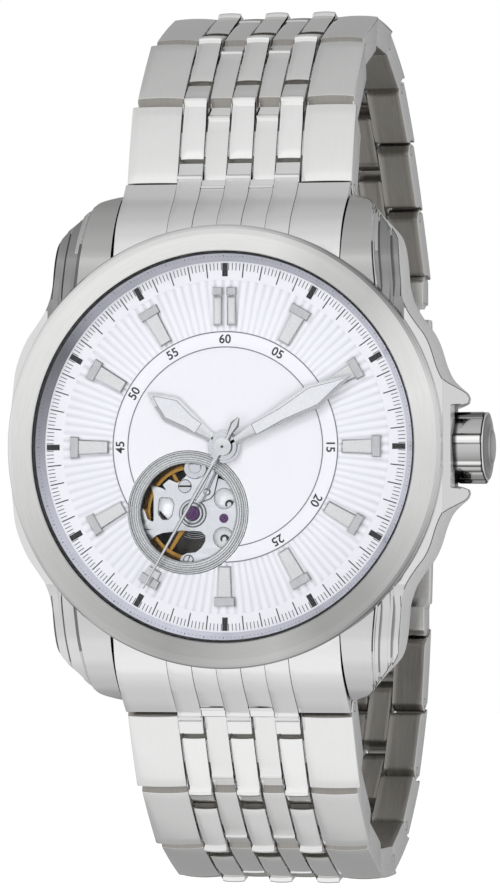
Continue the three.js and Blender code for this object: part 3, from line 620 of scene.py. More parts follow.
# tapered flank: widest near the middle
lv = [(0.6, 1.75), (1.6, 1.25), (3.0, 0.72), (4.5, 0.28), (5.6, 0.04), (6.4, 0.0), (7.6, 0.02), (8.6, 0.12), (9.9, 0.42)]
flank = loft([[(x * (1 - d / 22), y * (1 - d / 22), z) for x, y in outline] for z, d in lv])
slot = [(-11.16, 27), (-11.16, 17.35), (-9.2, 18.5), (9.2, 18.5), (11.16, 17.35), (11.16, 27)]
bores = lathe([(0, -1), (16.4, -1), (16.4, 2.5), (18.15, 2.5), (18.15, 9.3), (18.95, 9.3), (18.95, 12), (0, 12)], 128)
gt = [(-30, -3), (30, -3), (30, 4.2), (24.2, 4.6), (23.3, 6.0), (22.4, 7.5), (21.7, 8.7), (21.0, 9.5), (20.6, 12), (-20.5, 12), (-20.9, 9.5), (-21.5, 8.6), (-30, 8.0)]
guard_top = loft([[(x, y, z) for x, z in gt] for y in (-30, 30)])


def off_line(x, y):
    """Distance from a point to the outline of the case."""
    a, b = np.array(outline, float), np.roll(np.array(outline, float), -1, axis=0)
    d, q = b - a, np.array((x, y))
    t = np.clip(((q - a) * d).sum(1) / ((d * d).sum(1) + 1e-12), 0, 1)
    return float(np.sqrt((((a + d * t[:, None]) - q) ** 2).sum(1)).min())


case = make("case_middle_polished", loft(case_sections()), [m_case, m_flank, m_lug, m_lug2, m_lug3, m_crown_gap_shade], "head", node="mid_case", sharp=24,
            cuts=[(flank, "INTERSECT"), (guard_top, "INTERSECT"), (bores, "DIFFERENCE"), (prism(slot, -2, 14), "DIFFERENCE"), (prism([(x, -y) for x, y in slot], -2, 14), "DIFFERENCE"),
                  (to_x(lathe([(0, 17), (1.95, 17), (1.95, 25), (0, 25)], 32), 5.2), "DIFFERENCE")],
            # walls beside the crown take the near-black polish: painted shade
            pick=lambda n, c: 5 if (c.x > 21.3 and abs(c.y) < 4.4 and c.z < 7.6 and ((n.x > 0.7 and c.x < 22.3 and abs(c.y) < 3.97) or (abs(n.y) > 0.6 and n.y * c.y < 0))) else 3 if (
                # lug flutes, top lugs and bottom lugs take the darker lug polishes: painted shade
                abs(c.y) > 12.5 and 14.3 < abs(c.x) < 17.0 and abs(n.x) > 0.75 and abs(n.z) < 0.5 and (c.z > 5.5 or abs(c.y) > 20.5) and off_line(c.x, c.y) > 0.45) else (1 if (-0.55 < n.z < 0.35 and (c.x ** 2 + c.y ** 2) > 18.2 ** 2 and abs(c.x) > 11.3 and off_line(c.x, c.y) < 2.2) else
                               (3 if (c.y > 10 and abs(c.x) > 14.6 and n.z > 0) else (2 if (c.y > 12 and abs(c.x) > 11.2 and n.z > 0) else (4 if (c.y < -12 and abs(c.x) > 11.2 and n.z > 0) else 0)))))


def painted_shade_edge_line(ob, w, lift):
    """Thin near-black strip along the edges where the top of the case meets its flank: a painted shade line, not a real
    chamfer.
    """
    bm = bmesh.new()
    bm.from_mesh(ob.data)
    g = Geo()
    for e in bm.edges:
        if len(e.link_faces) != 2:
            continue
        f1, f2 = e.link_faces
        if (f1.material_index == 1) == (f2.material_index == 1) or 5 in (f1.material_index, f2.material_index) or f1.normal.dot(f2.normal) > 0.88:
            continue
        mid = (e.verts[0].co + e.verts[1].co) / 2 * 1000
        if mid.z < 3.2 or mid.x < 11.4 or e.calc_length() < 2e-5 or off_line(mid.x, mid.y) > (0.7 if abs(mid.y) < 13.5 else 0.28):
            continue
        d = (e.verts[1].co - e.verts[0].co).normalized()
        nn = (f1.normal + f2.normal).normalized()
        t = []
        for f in (f1, f2):
            u = f.normal.cross(d).normalized()
            t.append(u if u.dot(f.calc_center_median() - e.verts[0].co) > 0 else -u)
        sec = []
        for vtx in e.verts:
            q = vtx.co * 1000
            sec.append([tuple(q + t[0] * w + f1.normal * lift * 0.4), tuple(q + nn * lift), tuple(q + t[1] * w + f2.normal * lift * 0.4), tuple(q - nn * 0.04)])
        g.add(loft(sec))
    bm.free()
    return g.vf


# painted shade line along the case's top edges
make("case_edge_painted_shade_line", painted_shade_edge_line(case, 0.06, 0.012), m_edge_line_shade, "head", merge=1e-9, sharp=30)

make("bezel_ring", lathe(rounded([(18.5, 9.76), (20.72, 9.76), (21.0, 9.98), (21.0, 10.40), (20.86, 10.62), (20.62, 10.78), (20.1, 10.98), (18.62, 11.15), (18.5, 11.05)],
                                 [0.02, 0.05, 0.08, 0.1, 0.02, 0.03, 0.25, 0.04, 0.03], 3), 256),
     [m_bezel, m_bezel_edge], "head", node="bezel", sharp=14, pick=lambda n, c: 1 if (c.x ** 2 + c.y ** 2) ** 0.5 > 20.66 or n.z < 0.3 else 0)
make("crystal_dome", lathe(rounded([(0, 11.02), (10, 10.88), (18.42, 10.62), (18.42, 11.02), (18.2, 11.16), (10, 11.86), (0, 12.08)], [0, 3, 0.03, 0.05, 0.3, 4, 0], 4), 128),
     m_glass, "head", node="crystal")
make("crystal_seal", lathe(rounded([(18.26, 10.50), (18.49, 10.50), (18.49, 10.61), (18.26, 10.61)], 0.03), 128), m_rubber, "head", node="crystal_gasket")
make("inner_flange", lathe([(17.55, 9.52), (18.48, 9.52), (18.48, 10.49), (18.26, 10.49), (18.22, 10.44), (17.62, 9.58)], 192), m_rehaut, "head", node="rehaut_ring", sharp=20)
flange_ticks = Geo()
for i in range(300):
    v_, f_ = box(-0.04, 0.04, 0.0, 0.26, -0.012, 0.012) if i % 5 == 0 else box(-0.035, 0.035, 0.0, 0.10, -0.012, 0.012)
    sl_ = math.atan2(0.86, 0.60)
    v_ = [(p[0], 17.98 + p[1] * math.cos(sl_) - p[2] * math.sin(sl_), 10.10 + p[1] * math.sin(sl_) + p[2] * math.cos(sl_)) for p in v_]
    flange_ticks.add((v_, f_), -i * 1.2 * RAD)
make("flange_ticks", flange_ticks.vf, m_grey, "head")

# ------------------------------------------------------------------------ dial
def off_ap(x, y, m=0.0):
    return math.hypot(x - AP[0], y - AP[1]) > 5.82 + m


secs = []
PL, SUB = 120, 6
for i in range(PL * SUB):
    a = 2 * math.pi * i / (PL * SUB)
    h = 0.5 + 0.5 * math.sin(120 * a)
    d = 0.09 * h ** 1.5
    c, s = math.cos(a), math.sin(a)
    pr = [(0.99, ZD - 0.38), (17.88, ZD - 0.38), (17.88, ZD), (15.86, ZD), (15.80, ZD - 0.03), (15.70, ZD - 0.03 - d), (11.08, ZD - 0.03 - d), (10.98, ZD - 0.03),
          (10.92, ZD), (9.44, ZD), (9.40, ZD - 0.02), (0.99, ZD - 0.02)]
    secs.append([(r * c, r * s, z) for r, z in pr])
hole = lathe([(0, 8), (5.88, 8), (5.88, 11), (0, 11)], 96)
hole = ([(p[0] + AP[0], p[1] + AP[1], p[2]) for p in hole[0]], hole[1])
make("dial_plate", loft(secs, loop=True), m_dial, "head", node="dial", cuts=[(hole, "DIFFERENCE")], sharp=50)

track = Geo()
for i in range(300):
    a = -i * 2 * math.pi / 300
    if i % 25 == 0:
        track.add(box(-0.27, 0.27, 16.13, 17.4, ZD - 0.01, ZD + 0.008), a)
    elif i % 5 == 0:
        track.add(box(-0.055, 0.055, 16.05, 17.4, ZD - 0.01, ZD + 0.007), a)
    else:
        track.add(box(-0.035, 0.035, 16.73, 17.4, ZD - 0.01, ZD + 0.006), a)
make("minute_track", track.vf, m_black, "head")

rings = Geo()
for R, w in ((9.45, 0.05), (10.9, 0.055)):
    n = 360
    ok = [off_ap(R * math.cos(2 * math.pi * i / n), R * math.sin(2 * math.pi * i / n), 0.02) for i in range(n)]
    st = next(i for i in range(n) if ok[i] and not ok[i - 1])
    run = []
    for j in range(n):
        i = (st + j) % n
        if not ok[i]:
            break
        a = 2 * math.pi * i / n
        c, s = math.cos(a), math.sin(a)
        run.append([((R - w) * c, (R - w) * s, ZD - 0.03), ((R + w) * c, (R + w) * s, ZD - 0.03), ((R + w) * c, (R + w) * s, ZD + 0.012), ((R - w) * c, (R - w) * s, ZD + 0.012)])
    rings.add(loft(run))
make("chapter_circles", rings.vf, m_grey, "head")


def text_geo(text, size):
    cu = bpy.data.curves.new("t", "FONT")
    cu.body, cu.size, cu.align_x, cu.align_y = text, size, "CENTER", "CENTER"
    cu.extrude, cu.space_character, cu.offset = 0.012, 1.02, 0.022
    o = bpy.data.objects.new("t", cu)
    bpy.context.scene.collection.objects.link(o)
    bpy.context.view_layer.update()
    me = bpy.data.meshes.new_from_object(o.evaluated_get(bpy.context.evaluated_depsgraph_get()))
    vf = ([tuple(v.co) for v in me.vertices], [tuple(p.vertices) for p in me.polygons])
    bpy.data.objects.remove(o)
    bpy.data.meshes.remove(me)
    return vf


nums = Geo()
for k in range(12):
    a = k * 30
    x, y = 10.17 * math.sin(a * RAD), 10.17 * math.cos(a * RAD)
    if not off_ap(x, y, 0.75):
        continue
    nums.add(text_geo("60" if k == 0 else "%02d" % (k * 5), 1.16), -a * RAD, (x, y, ZD))
make("minute_numerals", nums.vf, m_black, "head", merge=1e-9, sharp=30)


def block(out, z0, z1, e=0.08):
    """A small plate with a chamfered top."""
    return loft([[(x, y, z0) for x, y in out], [(x, y, z1 - e) for x, y in out], [(x, y, z1) for x, y in inset(out, e)]])


caps, bodies_, inl = Geo(), Geo(), Geo()
for h in range(12):
    a = -h * math.pi / 6
    if h == 0:
        for sx in (-1, 1):
            q = [(sx * 0.24, 11.5), (sx * 1.12, 11.5), (sx * 1.12, 14.2), (sx * 0.24, 14.2)]
            q = q if area(q) > 0 else q[::-1]
            bodies_.add(block(q, ZD - 0.06, ZD + 0.26), a)
            q2 = inset(q, 0.2)
            inl.add(block(q2, ZD + 0.2, ZD + 0.285, 0.02), a)
            q = [(sx * 0.2, 14.32), (sx * 1.16, 14.32), (sx * 1.16, 15.1), (sx * 0.2, 15.1)]
            q = q if area(q) > 0 else q[::-1]
            caps.add(block(q, ZD - 0.06, ZD + 0.29), a)
        continue
    r0 = 13.35 if h == 7 else 11.3
    w0 = 0.62 + (0.70 - 0.62) * (r0 - 11.3) / 2.9
    body = [(-w0, r0), (w0, r0), (0.74, 14.3), (-0.74, 14.3)]
    bodies_.add(block(body, ZD - 0.06, ZD + 0.24, 0.1), a)
    inl.add(block(inset(body, 0.15), ZD + 0.2, ZD + 0.262, 0.02), a)
    caps.add(block([(-1.0, 14.2), (1.0, 14.2), (1.03, 15.08), (-1.03, 15.08)], ZD - 0.06, ZD + 0.29, 0.09), a)
m_cap = brushed("marker_cap", (0.66, 0.66, 0.66), 0.2, (2500, 700, 2500), 0.06)
m_body = polished("marker_edge", (0.70, 0.70, 0.70), 0.12)
make("hour_markers", bodies_.vf, m_body, "head", sharp=20)
make("hour_marker_caps", caps.vf, m_cap, "head", sharp=20)
make("hour_marker_inlays", inl.vf, m_lume2, "head", sharp=20)

groove = []
for i in range(33):
    t = i / 32
    r = 4.86 + (5.72 - 4.86) * t
    groove.append((r, 9.555 + 0.03 * math.cos(2 * math.pi * 5 * t)))
make("aperture_bezel", Geo().add(lathe([(4.67, 9.2), (5.8, 9.2), (5.8, 9.54), (5.76, 9.58)] + groove[::-1] + [(4.78, 9.58), (4.67, 9.5)], 160), 0, (*AP, 0)).vf,
     m_ring, "head", node="aperture_ring", sharp=60)

# ----------------------------------------------------------------------- hands
def leaf(pts):
    return [(x, y) for x, y in pts] + [(-x, y) for x, y in reversed(pts) if x > 0]


def hand(name, pts, z0, z1, frame_w, ang, hubr, hole, body, node, cut_from=0.0):
    out = leaf(pts)
    out = out if area(out) > 0 else out[::-1]
    g = Geo()
    inn = inset(out, frame_w * 0.8)
    g.add(loft([[(x, y, z0) for x, y in out], [(x, y, z0 + 0.35 * (z1 - z0)) for x, y in out], [(x, y, z1) for x, y in inn]]), -ang * RAD)
    make(name + "_blade", g.vf, [m_side_hand, m_shade_hand, m_part], body, node=node, sharp=20,
         # facets on one side take the darker hand steel: painted shade
         pick=lambda n, c: 2 if n.z < 0.2 else (1 if n.z < 0.998 and (n.y * 0.86 - n.x * 0.5) < 0.0 else 0))
    ins = [(max(0.0, x - frame_w), y) for x, y in pts if y > cut_from]
    tip = pts[-1]
    ins[-1] = (0, tip[1] - 2.1 * frame_w)
    ins = [(max(0.02, ins[0][0]), cut_from + 0.2)] + ins
    q = leaf(ins)
    q = q if area(q) > 0 else q[::-1]
    qe = inset(q, -0.05)
    make(name + "_inlay_edge", Geo().add(prism(qe, z1 - 0.06, z1 + 0.006), -ang * RAD).vf, m_grey, body, sharp=20)
    make(name + "_inlay", Geo().add(block(q, z1 - 0.05, z1 + 0.022, 0.015), -ang * RAD).vf, m_lume, body, sharp=20)
    hub = lathe(rounded([(hole, z0), (hubr, z0), (hubr, z1), (hole, z1)], [0, 0.02, 0.05, 0.02]), 64)
    make(name + "_hub", hub, m_screw, body, sharp=30)


m_side_hand = brushed("hand_steel_satin", (0.80, 0.80, 0.795), 0.22, (2500, 500, 2500), 0.06, 0.03)
# darker copies of the hand steel for side facets: painted shade
m_shade_hand = brushed("hand_steel_shade", (0.52, 0.52, 0.515), 0.24, (2500, 500, 2500), 0.06, 0.03)
m_hand_edge_shade = brushed("hand_edge_painted_shade", (0.26, 0.26, 0.26), 0.25, (2500, 500, 2500), 0.06, 0.03)
hand("hour_hand", [(0.42, -0.1), (0.42, 1.5), (0.52, 2.2), (0.9, 4.1), (1.3, 6.3), (0.72, 7.7), (0, 9.1)], 9.72, 9.88, 0.36, 304.7, 1.55, 0.92, "hour", "hour_hand", 2.9)
hand("minute_hand", [(0.42, -0.1), (0.42, 1.7), (0.5, 2.9), (0.85, 6.4), (1.2, 9.9), (0.62, 12.1), (0, 14.2)], 10.12, 10.26, 0.34, 61.5, 1.28, 0.62, "minute", "minute_hand", 3.2)
needle = Geo()
sec_out = [(0.10, -3.15), (0.44, -2.4), (0.19, -1.2), (0.19, 2.0), (0.16, 9.0), (0.085, 15.45)]
q = [(x, y) for x, y in sec_out] + [(-x, y) for x, y in reversed(sec_out)]
needle.add(loft([[(x, y, 10.56) for x, y in q], [(x, y, 10.60) for x, y in q], [(x * 0.58, y, 10.68) for x, y in q]]), -209.9 * RAD)
needle.add(lathe(rounded([(0.12, 10.56), (0.85, 10.56), (0.85, 10.67), (0.30, 10.73), (0.12, 10.73)], [0, 0.02, 0.05, 0.03, 0]), 48))
needle.add(lathe(rounded([(0, 10.60), (0.2, 10.60), (0.2, 10.80), (0, 10.82)], [0, 0, 0.04, 0]), 24))
dot = lathe(rounded([(0, 10.78), (0.13, 10.78), (0.13, 10.835), (0, 10.835)], [0, 0, 0.02, 0]), 20)
make("seconds_pinion_end", dot, m_black, "seconds")
make("seconds_hand_needle", needle.vf, [m_side_hand, m_hand_edge_shade, m_shade_hand], "seconds", node="seconds_hand", sharp=20,
     # needle: light top, near-black side facets towards 3 o'clock and mid-grey ones on the other side: painted shade
     pick=lambda n, c: 0 if n.z > 0.95 or math.hypot(c.x, c.y) < 0.9 else (1 if n.x > 0 else 2))

# ------------------------------------------------------- balance and its bridge
cock_pts = [(-3.9, 2.6), (-2.9, 2.36), (-2.3, 2.06), (-2.72, 2.62), (-2.1, 3.15), (-1.3, 2.8), (-0.8, 3.15), (-0.45, 3.45), (-0.3, 4.1), (-0.55, 4.75),
            (0.5, 5.0), (1.35, 4.55), (1.40, 3.95), (1.75, 3.62), (2.05, 3.95), (2.55, 3.30), (4.2, 2.72), (5.0, 1.6), (5.1, -1.4), (4.2, -3.4), (2.9, -4.4),
            (0.8, -5.2), (-0.8, -5.1), (-1.05, -4.5), (-0.85, -4.1), (-0.35, -3.85), (0.5, -3.78), (1.05, -3.35), (1.42, -2.75), (1.48, -2.2), (1.0, -1.78),
            (-0.9, -1.72), (-2.7, -1.92), (-3.4, -2.18), (-3.9, -2.6), (-4.75, -1.6), (-5.1, -0.7), (-5.2, 0.1), (-4.6, 0.5), (-4.2, -0.6), (-3.6, -0.95), (-3.6, 1.75)]
cock_r = [0.02, 0.4, 0.1, 0.1, 0.15, 0.2, 0.3, 0.3, 0.3, 0.3, 0.5, 0.3, 0.15, 0.2, 0.1, 0.3, 0.4, 0.5, 0.5, 0.5, 0.5, 0.5, 0.3, 0.3, 0.25, 0.3, 0.3, 0.4, 0.4, 0.3, 0.4, 0.4, 0.4, 0.3, 0.05, 0.5, 0.3, 0.3, 0.3, 0.2, 0.2, 0.2]
dhole = rounded([(-3.02, 1.4), (-1.9, 1.36), (-1.62, 0.79), (-1.85, -0.3), (-2.15, -0.62), (-2.74, -0.66), (-3.14, -0.09)], 0.3)
g = Geo()
g.add(prism(rounded(cock_pts[::-1], cock_r[::-1], 3), 7.95, 8.42, [dhole, circ(0.95, 32, 3.28, 1.32), circ(0.95, 32, 3.19, -2.37)]), 0, (*AP, 0))
for x, y in ((-4.95, 0.0), (0.0, -4.75)):
    g.add(lathe([(0, 7.62), (0.45, 7.62), (0.45, 8.1), (0, 8.1)], 24), 0, (AP[0] + x, AP[1] + y, 0))
make("balance_bridge_plate", g.vf, m_cock, "head", node="balance_cock", bevel=0.05, bseg=2)


def disc_at(prof, x, y, seg=48):
    return Geo().add(lathe(prof, seg), 0, (AP[0] + x, AP[1] + y, 0)).vf


def screw(name, x, y, r, z, ang, body="head", dx=AP, depth=0.35):
    head = lathe(rounded([(0, z - depth), (r, z - depth), (r, z + 0.08), (r * 0.86, z + 0.12), (0, z + 0.13)], [0, 0, 0.03, 0.03, 0]), 40)
    sl = Geo().add(box(-r * 1.2, r * 1.2, -r * 0.13, r * 0.13, z + 0.02, z + 0.4), ang * RAD)
    M = HEAD @ Matrix.Translation(((dx[0] + x) * MM, (dx[1] + y) * MM, 0))
    return make(name, head, m_screw, body, M=M, cuts=[(sl.vf, "DIFFERENCE")], sharp=25)


screw("bridge_screw_upper", -0.55, 2.50, 0.61, 8.40, 0)
make("bridge_boss", disc_at(rounded([(0, 8.3), (1.12, 8.3), (1.12, 8.47), (1.0, 8.52), (0.68, 8.52), (0.62, 8.47), (0.56, 8.56), (0, 8.60)], [0, 0, 0.02, 0.04, 0.03, 0.03, 0.04, 0]), 0.45, 4.35), m_screw, "head", sharp=30)
screw("bridge_screw_lower", -0.2, -4.5, 0.46, 8.40, 70)
make("shock_setting", disc_at(rounded([(0, 8.3), (1.3, 8.3), (1.3, 8.5), (1.22, 8.58), (1.02, 8.58), (0.98, 8.46), (0.93, 8.46), (0.9, 8.60), (0.7, 8.60), (0.66, 8.5), (0, 8.5)],
                                      [0, 0, 0.03, 0.04, 0.03, 0.02, 0.02, 0.03, 0.03, 0.02, 0]), 0.23, -0.08), m_screw, "head", sharp=30)
make("shock_setting_gaps", Geo().add(disc_at([(0.98, 8.4), (1.06, 8.4), (1.06, 8.595), (0.98, 8.595)], 0.23, -0.08)).add(disc_at([(0.66, 8.4), (0.74, 8.4), (0.74, 8.612), (0.66, 8.612)], 0.23, -0.08)).vf, m_black, "head")
make("bridge_gap_rings", Geo().add(disc_at([(1.30, 8.3), (1.35, 8.3), (1.35, 8.428), (1.30, 8.428)], 0.23, -0.08)).add(disc_at([(1.12, 8.3), (1.17, 8.3), (1.17, 8.428), (1.12, 8.428)], 0.45, 4.35)).add(disc_at([(0.61, 8.3), (0.66, 8.3), (0.66, 8.428), (0.61, 8.428)], -0.55, 2.5)).add(disc_at([(0.46, 8.3), (0.51, 8.3), (0.51, 8.428), (0.46, 8.428)], -0.2, -4.5)).vf, m_black, "head")
# white plate under the balance bridge: painted reflection
make("lower_plate_painted_reflection", Geo().add(prism([(-3.45, 1.75), (-3.45, 0.55), (-2.35, -0.62), (-1.9, -0.95), (-1.25, -0.95), (-1.25, 1.75)], 7.62, 7.84), 0, (*AP, 0)).vf, m_reflection_white, "head", bevel=0.03)
# black sheets under the bridge notches: painted shadow of the recess
recess_shadow_sheets = Geo()
for q in ([(1.25, 4.75), (1.3, 3.7), (1.8, 3.3), (2.2, 4.4)], [(2.35, 4.1), (2.5, 3.1), (4.3, 2.4), (4.35, 3.3), (3.4, 4.0)]):
    recess_shadow_sheets.add(prism(q if area(q) > 0 else q[::-1], 7.62, 7.86), 0, (*AP, 0))
make("plate_recess_painted_shadow", recess_shadow_sheets.vf, m_black, "head", sharp=30)
outl = Geo()
outl.add(prism(inset(dhole, -0.07), 8.30, 8.428, [dhole]), 0, (*AP, 0))
for cx_, cy_ in ((3.28, 1.32), (3.19, -2.37)):
    outl.add(disc_at([(0.95, 8.3), (1.01, 8.3), (1.01, 8.428), (0.95, 8.428)], cx_, cy_))
make("bridge_port_edges", outl.vf, m_grey, "head", sharp=30)
make("balance_jewel", disc_at([(0, 8.4), (0.64, 8.4), (0.64, 8.52), (0.55, 8.57), (0.3, 8.61), (0, 8.62)], 0.23, -0.08), m_ruby, "head", sharp=30)
make("escape_jewel", disc_at([(0, 8.3), (0.44, 8.3), (0.44, 8.43), (0.36, 8.46), (0, 8.43)], 3.25, -0.55), m_ruby, "head", sharp=30)
make("escape_jewel_rim", disc_at([(0.44, 8.3), (0.5, 8.3), (0.5, 8.44), (0.44, 8.44)], 3.25, -0.55), m_screw, "head", sharp=30)
reg = rounded([(0.55, 1.12), (0.78, 0.98), (1.15, 1.05), (1.95, 1.35), (2.3, 1.75), (2.42, 2.3), (2.75, 3.7), (2.4, 4.15), (2.1, 4.0), (1.35, 2.3), (0.8, 1.45)], 0.12)
make("regulator_outline", Geo().add(prism(inset(reg, -0.075), 8.40, 8.455), 0, (*AP, 0)).vf, m_black, "head")
make("regulator_stud_gap", disc_at([(0.28, 8.58), (0.35, 8.58), (0.35, 8.612), (0.28, 8.612)], 1.65, 1.95, 32), m_black, "head")
make("regulator_arm", Geo().add(prism(reg, 8.44, 8.60), 0, (*AP, 0)).vf, m_cock, "head", node="regulator", bevel=0.03)
rod = [(1.16, 1.12), (1.38, 1.02), (2.62, 3.75), (2.38, 3.92)]
make("regulator_key", Geo().add(block(rod if area(rod) > 0 else rod[::-1], 8.58, 8.74, 0.07), 0, (*AP, 0)).vf, m_part, "head", sharp=20)
make("regulator_stud", disc_at(rounded([(0, 8.5), (0.28, 8.5), (0.28, 8.72), (0.2, 8.8), (0, 8.8)], [0, 0, 0.02, 0.05, 0]), 1.65, 1.95, 32), m_edge, "head", sharp=25)
under = [(2.25, 2.6), (4.4, 2.4), (4.75, 0.3), (4.75, -2.2), (3.8, -3.6), (2.2, -3.3), (2.1, -1.4), (2.4, -0.9), (2.4, 0.3), (2.2, 0.9)]
# white plate under the bridge ports: painted reflection
make("bridge_under_plate_painted_reflection", Geo().add(prism(rounded(under, 0.2), 7.56, 7.84), 0, (*AP, 0)).vf, m_reflection_white, "head", bevel=0.03)
hook = []
for i in range(13):
    a = (-60 + 250 * i / 12) * RAD
    w = 0.13 * (1 - 0.45 * i / 12)
    c, s = math.cos(a), math.sin(a)
    hook.append([((0.33 - w) * c, (0.33 - w) * s, 7.82), ((0.33 + w) * c, (0.33 + w) * s, 7.82), ((0.33 + w) * c, (0.33 + w) * s, 7.93), ((0.33 - w) * c, (0.33 - w) * s, 7.93)])
make("spring_clips", Geo().add(loft(hook), 0.4, (AP[0] + 3.66, AP[1] + 0.78, 0)).add(loft(hook), 0.4, (AP[0] + 3.18, AP[1] - 2.5, 0)).vf, m_black, "head", sharp=30)

g = Geo()
g.add(lathe(rounded([(4.12, 6.95), (4.88, 6.95), (4.88, 7.5), (4.12, 7.5)], 0.1), 128))
for i in range(3):
    sp = [(-0.3, 0.5), (0.3, 0.5), (0.2, 4.25), (-0.2, 4.25)]
    g.add(block(sp, 7.05, 7.3, 0.05), (i * 120 + 28) * RAD)
g.add(lathe(rounded([(0, 6.95), (0.62, 6.95), (0.62, 7.35), (0, 7.35)], [0, 0.05, 0.05, 0]), 40))
g.add(lathe([(0, 4.78), (0.13, 4.78), (0.13, 7.84), (0, 7.84)], 16))
g.add(lathe([(0, 5.5), (0.42, 5.5), (0.42, 5.7), (0, 5.7)], 24))
make("balance_rim", Geo().add(g.vf, 0, (*AP, 0)).vf, m_gold, "balance", node="balance_wheel", sharp=30)
sp = []
for i in range(241):
    t = i / 240
    a, r = t * 11 * 2 * math.pi, 0.42 + 2.1 * t
    c, s = math.cos(a), math.sin(a)
    sp.append([((r - 0.02) * c, (r - 0.02) * s, 6.55), ((r + 0.02) * c, (r + 0.02) * s, 6.55), ((r + 0.02) * c, (r + 0.02) * s, 6.69), ((r - 0.02) * c, (r - 0.02) * s, 6.69)])
make("hairspring_coil", Geo().add(loft(sp), 0, (*AP, 0)).vf, m_part, "balance", node="hairspring", sharp=40)

# ------------------------------------------------------------- movement inside
HOLE = lathe([(0, 6.0), (4.98, 6.0), (4.98, 8.4), (0, 8.4)], 64)
HOLE = ([(p[0] + AP[0], p[1] + AP[1], p[2]) for p in HOLE[0]], HOLE[1])
make("main_plate_disc", lathe(rounded([(0.9, 6.6), (14.4, 6.6), (14.4, 7.57), (0.9, 7.57)], 0.05), 128), m_plate, "head", node="mainplate", cuts=[(HOLE, "DIFFERENCE")], sharp=40)

# winding rotor: half disc with a heavy rim, seen through the back
ro = [(13.2 * math.cos(a * RAD), 13.2 * math.sin(a * RAD)) for a in range(-178, -1, 3)]
plate = [(13.05 * math.cos(a * RAD), 13.05 * math.sin(a * RAD)) for a in range(-176, -3, 4)] + [(9.6, -0.6), (3.4, -0.9), (2.2, 0.9), (0.8, 2.3), (-0.8, 2.3), (-2.2, 0.9), (-3.4, -0.9), (-9.6, -0.6)]
ports = [[(8.4 * math.cos(a * RAD), 8.4 * math.sin(a * RAD)) for a in range(c - 16, c + 17, 4)] + [(4.3 * math.cos(a * RAD), 4.3 * math.sin(a * RAD)) for a in range(c + 13, c - 14, -5)] for c in (-145, -90, -35)]
make("rotor_plate", prism(plate, 2.72, 3.15, [rounded(p, 0.5) for p in ports]), m_rotor, "rotor", node="rotor", bevel=0.07)
rim = [[(r * math.cos(a * RAD), r * math.sin(a * RAD), z) for r, z in rounded([(10.2, 2.66), (13.15, 2.66), (13.15, 3.52), (10.2, 3.52)], 0.12)] for a in range(-176, -3, 4)]
make("rotor_rim", loft(rim), m_part, "rotor", sharp=30)
hb = Geo().add(lathe(rounded([(1.55, 2.58), (2.35, 2.58), (2.35, 3.3), (1.55, 3.3)], 0.06), 64))
for i in range(9):
    a = i * 40 * RAD
    hb.add(lathe(rounded([(0, 2.66), (0.2, 2.66), (0.2, 2.95), (0, 2.95)], [0, 0.1, 0.1, 0]), 12), 0, (1.28 * math.cos(a), 1.28 * math.sin(a), 0))
hb.add(lathe(rounded([(0, 2.55), (1.0, 2.55), (1.0, 3.4), (0, 3.4)], [0, 0.06, 0.06, 0]), 48))
make("rotor_bearing", hb.vf, m_screw, "rotor", cuts=[(box(-0.9, 0.9, -0.13, 0.13, 2.3, 2.72), "DIFFERENCE")], sharp=30)

# bridges seen from the back: fine plates over the train
for nm, pts_, scr in (("bridge_barrel", [(14.2 * math.cos(a * RAD), 14.2 * math.sin(a * RAD)) for a in range(-38, 81, 6)] + [(1.2, 8.0), (-0.6, 4.0), (2.4, 1.6), (5.0, -2.4), (8.6, -6.6)],
                       [(12.4, -5.2), (4.2, 12.6), (2.6, 6.4)]),
                      ("bridge_train", [(14.2 * math.cos(a * RAD), 14.2 * math.sin(a * RAD)) for a in range(84, 205, 6)] + [(-8.0, -2.6), (-4.6, -1.0), (-2.4, 2.2), (-1.0, 4.6), (0.9, 8.6)],
                       [(-1.2, 12.9), (-12.4, 4.0), (-4.4, 0.9)])):
    make(nm, prism(rounded(pts_, 0.5, 2), 3.72, 3.98), m_bridge, "head", bevel=0.08)
    for i, (x, y) in enumerate(scr):
        s = rounded([(0, 3.52), (0.78, 3.56), (0.82, 3.62), (0.82, 3.8), (0, 3.8)], [0, 0.05, 0.03, 0, 0])
        M = HEAD @ Matrix.Translation((x * MM, y * MM, 0))
        make("%s_screw_%d" % (nm, i), lathe(s, 32), m_screw, "head", M=M, cuts=[(Geo().add(box(-1, 1, -0.11, 0.11, 3.3, 3.64), i * 1.1 + 0.4).vf, "DIFFERENCE")], sharp=25)
jw = Geo()
for x, y in ((-2.2, 3.34), (-9.8, 6.0), (9.2, 5.2)):
    jw.add(lathe([(0.2, 3.66), (0.62, 3.62), (0.7, 3.66), (0.7, 3.8), (0.2, 3.8)], 32), 0, (x, y, 0))
make("bridge_jewels", jw.vf, m_ruby, "head", sharp=30)

# -------------------------------------------------------------------- case back
def notch(a, r, z):
    if r > 17.2 and z < 0.6:
        for i in range(6):
            d = (a - (30 + 60 * i) * RAD + math.pi) % (2 * math.pi) - math.pi
            if abs(d) < 1.2 / 18:
                return 17.2
    return r


